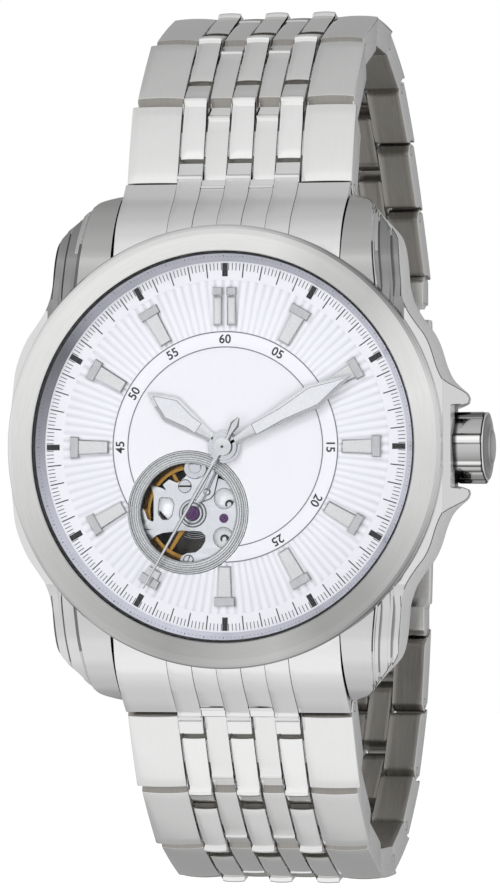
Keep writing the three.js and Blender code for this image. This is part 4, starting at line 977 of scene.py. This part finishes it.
make("back_ring", lathe([(12.42, 0.06), (12.5, 0.0), (13.2, 0.0), (13.25, 0.06), (13.4, 0.06), (13.45, 0.0), (16.4, 0.0), (16.45, 0.07), (16.6, 0.07), (16.65, 0.0), (17.95, 0.0), (18.2, 0.25), (18.2, 0.59),
                         (18.2, 0.61), (18.2, 1.0), (16.3, 1.0), (16.3, 2.3), (12.42, 2.3)], 720, notch), m_back, "head", node="case_back", sharp=30)
make("back_glass", lathe(rounded([(0, 0.02), (12.2, 0.02), (12.2, 1.4), (0, 1.4)], [0, 0.12, 0.05, 0]), 128), m_glass2, "head", node="case_back_crystal")
make("back_seal", lathe(rounded([(17.05, 1.06), (17.6, 1.06), (17.6, 1.54), (17.05, 1.54)], 0.2), 128), m_rubber, "head", node="case_back_gasket")

# ------------------------------------------------------------------------ crown
def flute(a, r, z):
    if r < 2.9 or z < 21.66 or z > 24.45:
        return r
    u = 0.5 + 0.5 * math.cos(7 * (a - 167.5 * RAD))
    w = min(1, max(0, (u - 0.72) / 0.28))
    return r + 0.3 * (1 - (1 - w) ** 2.2)


cp = smooth_line([(3.20, 24.46), (3.16, 24.52), (2.95, 24.58), (2.4, 24.70), (1.75, 24.88), (1.5, 24.98), (1.2, 25.0), (0.6, 25.04), (0.0, 25.05)], 4)
crown_prof = ([(2.2, 21.62), (2.85, 21.60), (3.08, 21.66), (3.16, 21.74), (3.20, 21.9), (3.21, 23.0), (3.22, 24.2), (3.20, 24.34), (3.10, 24.40), (3.10, 24.44)] + cp + [(0, 23.3), (2.2, 23.3)])
make("crown_fluted", to_x(lathe(crown_prof, 420, flute), 5.2), m_crown, "crown", node="crown", sharp=38)
make("stem_rod", to_x(lathe(rounded([(0, 11.2), (0.4, 11.2), (0.4, 23.6), (0, 23.6)], [0, 0.1, 0, 0]), 24), 5.2), m_part, "crown", node="winding_stem")
make("crown_seal", to_x(lathe(rounded([(1.68, 22.4), (2.12, 22.4), (2.12, 23.1), (1.68, 23.1)], 0.15), 48), 5.2), m_rubber, "crown_pull", node="crown_gasket")
make("crown_neck", to_x(lathe(rounded([(0.8, 17.7), (1.6, 17.7), (1.6, 22.9), (0.8, 22.9)], 0.08), 48), 5.2), m_part, "head", node="crown_tube")

# --------------------------------------------------------------------- bracelet
HALF_W = [11.0, 10.65, 10.25, 9.9, 9.6, 9.4, 9.25, 9.2]


def steer(o, ex, es, en):
    return Matrix(((ex[0], es[0], en[0], o[0]), (ex[1], es[1], en[1], o[1]), (ex[2], es[2], en[2], o[2]), (0, 0, 0, 1)))


def camber(s0, s1, h, n=1.44, k=7):
    """Points from s1 back to s0 along a gently arched top."""
    m, w = (s0 + s1) / 2, (s1 - s0) / 2
    return [(s1 + (s0 - s1) * i / k, n + h * (1 - ((s1 + (s0 - s1) * i / k - m) / w) ** 2)) for i in range(k + 1)]


NEAR_END = [(-0.05, 1.04), (-0.88, 0.22), (-0.95, -0.5), (-0.45, -1.42)]
FAR_END = [(5.9, -1.42), (6.6, -0.5), (6.95, 0.2), (7.6, 0.95), (8.08, 1.20)]
FAR_R = [0.6, 0.5, 0.3, 0.2, 0.04]
W_PROF = rounded(NEAR_END + FAR_END + camber(0.3, 8.10, 0.12), [0.1, 0.3, 0.4, 0.5] + FAR_R + [0.1] + [0] * 6 + [0.13], 3)
M_PROF = rounded(NEAR_END + FAR_END[:-1] + [(7.99, 1.06), (8.02, 1.24), (7.14, 1.42), (7.05, 1.56), (6.78, 1.58), (6.66, 1.46)] + camber(0.3, 6.4, 0.08),
                 [0.1, 0.3, 0.4, 0.5] + FAR_R[:-1] + [0.04, 0.08, 0.03, 0.08, 0.08, 0.03] + [0] * 7 + [0.13], 3)
B_PROF = rounded([(2.95, -1.15), (2.9, 0.4), (2.72, 1.1)] + camber(2.6, 8.0, 0.07, 1.49, 5)[::-1] + [(8.2, 1.50), (8.36, 1.66), (8.52, 1.80), (8.8, 1.80), (9.02, 1.54), (9.7, 1.10), (10.62, 0.36), (10.68, -0.02), (10.2, -0.55), (9.3, -1.0), (8.6, -1.15)],
                 [0.3, 0.1, 0.1, 0.12, 0, 0, 0, 0, 0.1, 0.05, 0.05, 0.12, 0.12, 0.06, 0.5, 0.15, 0.15, 0.3, 0.3, 0.2], 3)

# the last link's blocks end short, so the clasp blade can swing
B_LAST = rounded([(2.95, -1.15), (2.9, 0.4), (2.72, 1.1)] + camber(2.6, 8.0, 0.07, 1.49, 5)[::-1] + [(8.5, 1.25), (8.88, 0.7), (8.98, 0.0), (8.85, -0.6), (8.5, -1.0), (8.1, -1.15)],
                 [0.3, 0.1, 0.1, 0.12, 0, 0, 0, 0, 0.1] + [0.2] * 6, 3)


def pick_link(n, c):
    # undersides, hinge end faces and lower far ends take the dark satin: painted shade
    if n.z < -0.5 or (n.y < -0.66 and c.y < 3.2) or (n.y > 0.9 and c.z < 1.15):
        return 1
    if abs(n.x) > 0.85:
        return 2
    return 0

m_block = polished("block_polish", (0.84, 0.84, 0.835), 0.06)


def pin_at(hw):
    g = Geo().add(to_x(lathe(rounded([(0, -hw - 0.015), (0.42, -hw - 0.015), (0.42, hw + 0.015), (0, hw + 0.015)], [0, 0.06, 0.06, 0]), 28)))
    return g.vf


def rings_at(hw):
    g = Geo()
    for s in (-1, 1):
        a, b = sorted((s * (hw - 0.3), s * (hw + 0.004)))
        g.add(to_x(lathe([(0.4, a), (0.50, a), (0.50, b), (0.4, b)], 28)))
    return g.vf


def link_pieces(tag, body, node, M, hw):
    g = Geo()
    for a, b in ((-hw, -6.05), (6.05, hw)):
        g.add(bar(a, b, W_PROF, 0.16, 0.13))
    for s in (-1, 1):
        a, b = sorted((s * 1.3, s * 3.45))
        g.add(bar(a, b, M_PROF, 0.04, 0.09, n=3))
    make(tag + "_plates", g.vf, [m_link, m_link_inside_shade, m_side], body, M=M, node=node, pick=pick_link, sharp=24)
    g = Geo()
    for x in (-4.75, 0, 4.75):
        g.add(bar(x - 1.15, x + 1.15, B_LAST if tag.endswith("top_8") else B_PROF, 0.10, 0.14, n=4))
    # hidden core joins plates and blocks
    g.add(box(-hw + 1.0, hw - 1.0, 3.1, 5.6, -1.05, 1.0))
    make(tag + "_blocks", g.vf, [m_block, m_link_inside_shade, m_side], body, M=M, pick=pick_link, sharp=24)
    make(tag + "_pin", pin_at(hw), m_edge, body, M=M, sharp=30)
    make(tag + "_pin_gap", rings_at(hw), m_black, body, M=M, sharp=30)


for side, sz in (("top", 1), ("bottom", -1)):
    P = [JOINT["link_%s_%d_hinge" % (side, k)]["pos_m"] for k in range(1, 9)]
    e = JOINT["clasp_pivot"]["pos_m"]
    P.append([e[0], e[1], e[2] * sz])
    for k in range(8):
        dy, dz = P[k + 1][1] - P[k][1], P[k + 1][2] - P[k][2]
        phi = math.atan2(dy, dz * sz)
        c, s = math.cos(phi), math.sin(phi)
        if sz > 0:
            M = steer(P[k], (1, 0, 0), (0, s, c), (0, -c, s))
        else:
            M = steer(P[k], (-1, 0, 0), (0, s, -c), (0, -c, -s))
        nm = "link_%s_%d" % (side, k + 1)
        link_pieces("bracelet_%s_%d" % (side, k + 1), nm, nm, M, HALF_W[k])

# end links
curve_w = smooth_line([(17.45, 9.28), (18.8, 8.98), (20.4, 8.42), (21.7, 7.62), (22.8, 6.55), (23.7, 5.5), (24.5, 4.72), (25.22, 4.12)], 4)
curve_b = smooth_line([(18.7, 9.06), (20.4, 8.50), (21.7, 7.70), (22.8, 6.62), (23.7, 5.56), (24.5, 4.82), (25.3, 4.24)], 4)


curve_w2 = smooth_line([(17.45, 9.28), (18.8, 9.0), (20.4, 8.50), (21.7, 7.76), (22.8, 6.80), (23.7, 5.82), (24.5, 4.90), (25.22, 4.02)], 4)
curve_b2 = smooth_line([(18.7, 9.08), (20.4, 8.58), (21.7, 7.84), (22.8, 6.88), (23.7, 5.90), (24.5, 5.0), (25.3, 4.1)], 4)


def w_prof2(x):
    y0 = min(18.75, 17.45 + max(0, 11 - abs(x)) * 1.3 / 2.15)
    return [(y0, 1.45)] + [(max(y0, y), z) for y, z in curve_w2] + [(25.24, 3.86), (24.2, 3.82), (23.15, 3.78), (23.1, 1.45)]


def w_prof(x):
    y0 = min(18.75, 17.45 + max(0, 11 - abs(x)) * 1.3 / 2.15)
    c_ = [(max(y0, y), z) for y, z in curve_w]
    return [(y0, 1.45)] + c_ + [(25.24, 3.92), (24.2, 3.86), (23.15, 3.78), (23.1, 1.45)]


M_END2 = [(18.75, 1.45)] + [(max(18.75, y), z - 0.02) for y, z in curve_w2[:-2]] + [(24.78, 4.60), (24.84, 4.70), (25.02, 4.58), (25.08, 4.2), (25.6, 3.92), (25.62, 3.70), (24.2, 3.8), (23.15, 3.78), (23.1, 1.45)]
B_END2 = [(18.75, 1.45)] + curve_b2 + [(25.62, 3.96), (25.74, 4.12), (25.98, 4.1), (26.14, 3.74), (27.25, 3.15), (27.32, 2.95), (26.9, 2.3), (26.15, 1.6), (25.4, 1.05), (24.6, 0.98), (23.7, 1.2), (23.0, 1.45)]
M_END = [(18.75, 1.45)] + [(max(18.75, y), z - 0.02) for y, z in curve_w[:-2]] + [(24.78, 4.50), (24.84, 4.60), (25.02, 4.52), (25.08, 4.2), (25.6, 3.92), (25.62, 3.77), (24.2, 3.8), (23.15, 3.78), (23.1, 1.45)]
B_END = [(18.75, 1.45)] + curve_b + [(25.62, 4.06), (25.74, 4.22), (25.98, 4.2), (26.14, 3.78), (27.25, 3.15), (27.32, 2.95), (26.9, 2.3), (26.15, 1.6), (25.4, 1.05), (24.6, 0.98), (23.7, 1.2), (23.0, 1.45)]
m_end = polished("end_link_polish", (0.82, 0.82, 0.82), 0.07)
for side, sy in (("top", 1), ("bottom", -1)):
    g = Geo()
    for a, b in ((-11.0, -5.95), (5.95, 11.0)):
        g.add(bar(a, b, None, 0.0, 0.07, n=8, prof_fn=w_prof if sy > 0 else w_prof2))
    for s in (-1, 1):
        a, b = sorted((s * 1.2, s * 3.55))
        g.add(bar(a, b, M_END if sy > 0 else M_END2, 0.0, 0.07, n=2))
    for x in (-4.75, 0, 4.75):
        g.add(bar(x - 1.18, x + 1.18, B_END if sy > 0 else B_END2, 0.05, 0.09, top=3.8, n=3))
    g.add(box(-10.5, 10.5, 19.2, 22.6, 1.7, 6.2))
    vf = g.vf
    vf = ([(p[0], sy * p[1], p[2]) for p in vf[0]], vf[1])
    # end link undersides take the dark satin: painted shade
    make("end_link_%s_columns" % side, vf, [m_end, m_link_inside_shade], "head", node="end_link_" + side, pick=lambda n, c: 1 if n.z < -0.5 else 0, sharp=24,
         cuts=[(([(p[0], p[1] + sy * 21.6, p[2]) for p in to_x(lathe([(0, -12), (0.95, -12), (0.95, 12), (0, 12)], 32), 3.4)[0]], lathe([(0, -12), (0.95, -12), (0.95, 12), (0, 12)], 32)[1]), "DIFFERENCE")])
    sb = Geo().add(to_x(lathe(rounded([(0, -12.1), (0.5, -12.1), (0.5, -10.6), (0.72, -10.6), (0.72, 10.6), (0.5, 10.6), (0.5, 12.1), (0, 12.1)], [0, 0.1, 0, 0.05, 0.05, 0, 0.1, 0]), 32), 3.4))
    sb.add(to_x(lathe(rounded([(0, -9.9), (0.86, -9.9), (0.86, -9.5), (0, -9.5)], [0, 0.05, 0.05, 0]), 32), 3.4))
    make("spring_bar_%s_pin" % side, ([(p[0], p[1] + sy * 21.6, p[2]) for p in sb.vf[0]], sb.vf[1]), m_part, "head", node="spring_bar_" + side)

# ------------------------------------------------------------------------ clasp
CP = JOINT["clasp_pivot"]["pos_m"]
LEN = 2 * CP[2] * 1000
CM = steer(CP, (1, 0, 0), (0, 0, -1), (0, 1, 0))


def bulge(s):
    return 1.6 * (1 - ((s - LEN / 2) / (LEN / 2)) ** 2)


H1, H2 = 3.9, LEN - 4.6
N1, N2 = 0.55 + bulge(H1), -0.85 + bulge(H2)


def bow(s0, s1, n0, n1, k=20):
    lo = [(s0 + (s1 - s0) * i / k, n0 + bulge(s0 + (s1 - s0) * i / k)) for i in range(k + 1)]
    hi = [(s0 + (s1 - s0) * i / k, n1 + bulge(s0 + (s1 - s0) * i / k)) for i in range(k + 1)]
    return lo + hi[::-1]


def rod(r, x0, x1, s, n, seg=32, ch=0.05):
    v, f = to_x(lathe(rounded([(0, x0), (r, x0), (r, x1), (0, x1)], [0, ch, ch, 0]), seg))
    return [(p[0], p[1] + s, p[2] + n) for p in v], f


NEAR = rounded([(1.95, 1.44), (-0.42, 1.44), (-1.05, 0.85), (-1.05, -0.62), (-0.4, -1.42), (1.95, -1.42)], [0, 0.45, 0.5, 0.7, 0.5, 0], 4)


def near_end(g, hw, flip=False):
    prof = [(LEN - s, n) for s, n in NEAR] if flip else NEAR
    for a, b in ((-hw, -6.05), (6.05, hw)):
        g.add(bar(a, b, prof, 0.0, 0.12, n=2))
    for s in (-1, 1):
        a, b = sorted((s * 1.3, s * 3.45))
        g.add(bar(a, b, prof, 0.0, 0.09, n=2))


def pick_clasp(n, c):
    return 1 if abs(n.x) > 0.85 else (2 if n.z < -0.5 else 0)


g = Geo()
near_end(g, 8.9)
g.add(bar(-8.9, 8.9, [(1.72, -1.4), (2.4, -1.38), (2.4, -0.87 + bulge(2.4)), (1.93, 0.6), (1.72, 0.6)], 0, 0.06, n=2))
win = rounded([(-8.38, 1.8), (8.38, 1.8), (8.38, H2 - 1.0), (2.38, H2 - 1.0), (2.38, H2 - 0.2), (-2.38, H2 - 0.2), (-2.38, H2 - 1.0), (-8.38, H2 - 1.0)], [0, 0, 1.2, 0.3, 0, 0, 0.3, 1.2], 5)
hol = rounded([(-2.2, 9), (2.2, 9), (2.2, 24), (-2.2, 24)], 1.2, 5)


def sheet(outer, holes, n0, n1):
    """A curved plate: outline in (x, s), following the clasp's bow."""
    v, f = prism(outer, n0, n1, holes)
    return [(p[0], p[1], p[2] + bulge(p[1])) for p in v], f


def dense(p, step=1.2):
    out = []
    for i in range(len(p)):
        a, b = p[i], p[(i + 1) % len(p)]
        d = math.hypot(b[0] - a[0], b[1] - a[1])
        k = max(1, int(d / step))
        out += [(a[0] + (b[0] - a[0]) * j / k, a[1] + (b[1] - a[1]) * j / k) for j in range(k)]
    return out


def strips(x0, x1, s0, s1, n0, n1, edge=0.08):
    return bar(x0, x1, bow(s0, s1, n0, n1), 0, edge, n=2)


# inner blade: two long rails and end plates around a window
g.add(strips(-8.4, -2.2, 1.8, H2 - 1.0, -1.75, -0.95))
g.add(strips(2.2, 8.4, 1.8, H2 - 1.0, -1.75, -0.95))
g.add(strips(-2.4, 2.4, 1.8, 9.0, -1.75, -0.95, 0.0))
g.add(strips(-2.4, 2.4, 24.0, H2 - 0.05, -1.75, -0.95, 0.0))
g.add(rod(0.72, -2.4, 2.4, H2, N2))
g.add(rod(0.36, -5.25, 5.25, H2, N2))
make("clasp_inner_plate", g.vf, [m_claspin, m_side, m_claspin], "clasp_inner", M=CM, node="clasp_inner_blade", pick=pick_clasp, sharp=24)

g = Geo()
g.add(strips(-5.5, 5.5, H1 + 2.4, H2 - 1.0, -0.75, 0.05))
for sg in (-1, 1):
    a, b = sorted((sg * 2.62, sg * 5.5))
    g.add(strips(a, b, H2 - 1.2, H2 - 0.1, -0.72, 0.05, 0.03))
    g.add(rod(0.72, a, b, H2, N2))
g.add(bar(-2.9, 2.9, [(H1 + 2.6, -0.7 + bulge(H1 + 2.6)), (H1 + 2.6, 0.05 + bulge(H1 + 2.6)), (H1 + 0.3, N1 + 0.45), (H1 - 0.2, N1), (H1 + 0.3, N1 - 0.5)], 0, 0.05, n=2))
g.add(rod(0.6, -2.9, 2.9, H1, N1))
g.add(rod(0.32, -5.2, 5.2, H1, N1))
make("clasp_middle_plate", g.vf, [m_clasp, m_side, m_claspin], "clasp_middle", M=CM, node="clasp_middle_blade", pick=pick_clasp, sharp=24)

cov = bow(H1 - 0.5, LEN - 2.2, 0.3, 1.6, 28)
g = Geo()
g.add(bar(-9.2, -3.1, cov, 0, 0.22, n=3))
g.add(bar(3.1, 9.2, cov, 0, 0.22, n=3))
g.add(bar(-3.3, 3.3, bow(H1 + 2.7, LEN - 2.2, 0.3, 1.6, 24), 0, 0.0, n=2))
g.add(bar(-3.3, 3.3, bow(H1 + 0.4, H1 + 2.8, 1.25, 1.6, 4), 0, 0.0, n=2))
for sg in (-1, 1):
    a, b = sorted((sg * 3.1, sg * 7.2))
    g.add(rod(0.62, a, b, H1, N1))
near_end(g, 9.0, True)
g.add(bar(-9.0, 9.0, [(LEN - 2.9, 0.32 + bulge(LEN - 2.9)), (LEN - 1.9, -1.2), (LEN - 1.75, -1.2), (LEN - 1.75, 1.44), (LEN - 2.9, 1.6 + bulge(LEN - 2.9))], 0, 0.05, n=2))
for s0, s1 in ((7, 14.4), (20.4, 27.5)):
    g.add(strips(8.55, 9.2, s0, s1, -0.75, 0.5, 0.1))
    g.add(strips(-9.2, -8.55, s0, s1, -0.75, 0.5, 0.1))
make("clasp_cover_shell", g.vf, [m_case, m_side, m_claspin], "clasp_outer", M=CM, node="clasp_cover", pick=pick_clasp, sharp=24)
for nm, sg in (("right", 1), ("left", -1)):
    a, b = sorted((sg * 7.0, sg * 9.75))
    bb = rounded(bow(14.85, 19.95, -0.63, 0.2, 6), 0.1, 2)
    gb = Geo().add(bar(a, b, bb, 0, 0.12, n=2))
    for i in range(5):
        s0 = 15.7 + i * 0.85
        x0, x1 = sorted((sg * 9.70, sg * 9.745))
        gb.add(box(x0, x1, s0 - 0.16, s0 + 0.16, -0.45 + bulge(s0), 0.02 + bulge(s0)))
    make("clasp_button_%s_cap" % nm, gb.vf, m_clasp, "button_" + nm, M=CM, node="clasp_button_" + nm, sharp=24)

# finishes on the frame pieces that stay as they are; the train bridge gets near-black perlage as painted shade
FINISH = {"train_bridge": m_dark, "movement_ring": m_spacer, "mainspring_barrel": m_brass, "center_wheel": m_brass, "third_wheel": m_brass, "fourth_wheel": m_brass,
          "escape_wheel": m_part, "pallet_fork": m_part, "minute_wheel": m_brass, "hour_wheel": m_brass, "cannon_pinion": m_part}
for nm, mt in FINISH.items():
    me = frame["nodes"][nm].data
    me.materials.clear()
    me.materials.append(mt)
    for p in me.polygons:
        p.material_index = 0

# ------------------------------------------------------------ world and lights
w = bpy.data.worlds.new("studio")
w.use_nodes = True
bpy.context.scene.world = w
w.node_tree.nodes.clear()
k = Nodes.__new__(Nodes)
k.t = w.node_tree
d = k.n("TexCoord").outputs["Generated"]
dx, dy, dz = k.n("SeparateXYZ", {0: d}).outputs
th = k.math("ARCTAN2", dz, k.math("MULTIPLY", dy, -1.0))
t = k.math("ADD", k.math("DIVIDE", th, 2 * math.pi), 0.5)
ENV = [(-180, 0.40), (-135, 0.38), (-110, 0.50), (-96, 0.70), (-75, 0.84), (-60, 1.0), (-40, 1.0), (-20, 0.90), (0, 0.85), (25, 1.05), (35, 0.88), (50, 0.76), (88, 0.60), (110, 0.48), (140, 0.42), (180, 0.40)]
ramp = k.ramp(t, [((a + 180) / 360, v * 0.5) for a, v in ENV], "EASE")
main = k.n("VectorMath", {0: ramp, 1: (2, 2, 2)}, operation="MULTIPLY").outputs[0]
right = k.math("MULTIPLY", k.n("MapRange", {"Value": dx, "From Min": 0.5, "From Max": 0.95}, interpolation_type="SMOOTHSTEP").outputs[0], 1.0)
left = k.n("MapRange", {"Value": k.math("MULTIPLY", dx, -1.0), "From Min": 0.5, "From Max": 0.95}, interpolation_type="SMOOTHSTEP").outputs[0]
c1 = k.mix(right, main, (0.76, 0.76, 0.77))
c2 = k.mix(left, c1, (0.88, 0.88, 0.88))
cam_ray = k.n("LightPath").outputs["Is Camera Ray"]
c3 = k.mix(cam_ray, c2, (1.0, 1.0, 1.0))
bg = k.n("Background", {0: c3, 1: 1.0})
out = k.t.nodes.new("ShaderNodeOutputWorld")
k.t.links.new(bg.outputs[0], out.inputs[0])
bpy.context.scene.view_settings.view_transform = "Standard"


def area_light(name, loc, target, size, power, size_y=None):
    L = bpy.data.lights.new(name, "AREA")
    L.energy, L.size = power, size
    if size_y:
        L.shape, L.size_y = "RECTANGLE", size_y
    o = bpy.data.objects.new(name, L)
    bpy.context.scene.collection.objects.link(o)
    o.location = loc
    o.rotation_euler = (Vector(target) - Vector(loc)).to_track_quat("-Z", "Y").to_euler()
    o.visible_glossy = False
    return o


area_light("key", (-0.22, -0.45, 0.42), (0, 0, 0), 0.22, 1.5)
area_light("fill", (0.30, -0.42, -0.05), (0, 0, 0), 0.35, 0.7)

# --------------------------------------------------------------- floor, camera
low = min(CAD_LO[2], CAD_HI[2])
fm = bpy.data.meshes.new("floor")
FZ = low - 0.125
fm.from_pydata([(-6, -6, FZ), (6, -6, FZ), (6, 6, FZ), (-6, 6, FZ)], [], [(0, 1, 2, 3)])
floor = bpy.data.objects.new("floor", fm)
bpy.context.scene.collection.objects.link(floor)
kf = Nodes("floor_pale")
nf = kf.noise(kf.coords(), 40.0, 2.0)
fb = kf.n("BsdfDiffuse", {0: kf.mix(nf, (0.90, 0.90, 0.90), (0.92, 0.92, 0.92)), 1: 0.5})
fe = kf.n("Emission", {0: (1, 1, 1, 1), 1: 0.42})
fs = kf.n("AddShader", {0: fb.outputs[0], 1: fe.outputs[0]})
kf.t.links.new(fs.outputs[0], kf.out.inputs[0])
fm.materials.append(kf.m)
floor.visible_glossy = False

A, E, D = 12.775 * RAD, -1.074 * RAD, 600.0
TX, TZ = -2.368, 0.112
rt = Vector((math.cos(A), math.sin(A), 0))
fw = Vector((-math.sin(A), math.cos(A), 0))
up = Vector((0, 0, 1))
fw2 = fw * math.cos(E) - up * math.sin(E)
up2 = up * math.cos(E) + fw * math.sin(E)
pos = (Vector((0, -9.5, 0)) - fw2 * D - rt * TX - up2 * TZ) * MM
cam = bpy.data.cameras.new("camera")
cam.sensor_fit, cam.sensor_height, cam.sensor_width = "VERTICAL", 36.0, 36.0
cam.lens = 6345.4 * 36.0 / 896.0
cam.clip_start, cam.clip_end = 0.01, 50.0
co = bpy.data.objects.new("camera", cam)
bpy.context.scene.collection.objects.link(co)
co.matrix_world = Matrix(((rt.x, up2.x, -fw2.x, pos.x), (rt.y, up2.y, -fw2.y, pos.y), (rt.z, up2.z, -fw2.z, pos.z), (0, 0, 0, 1)))
bpy.context.scene.camera = co
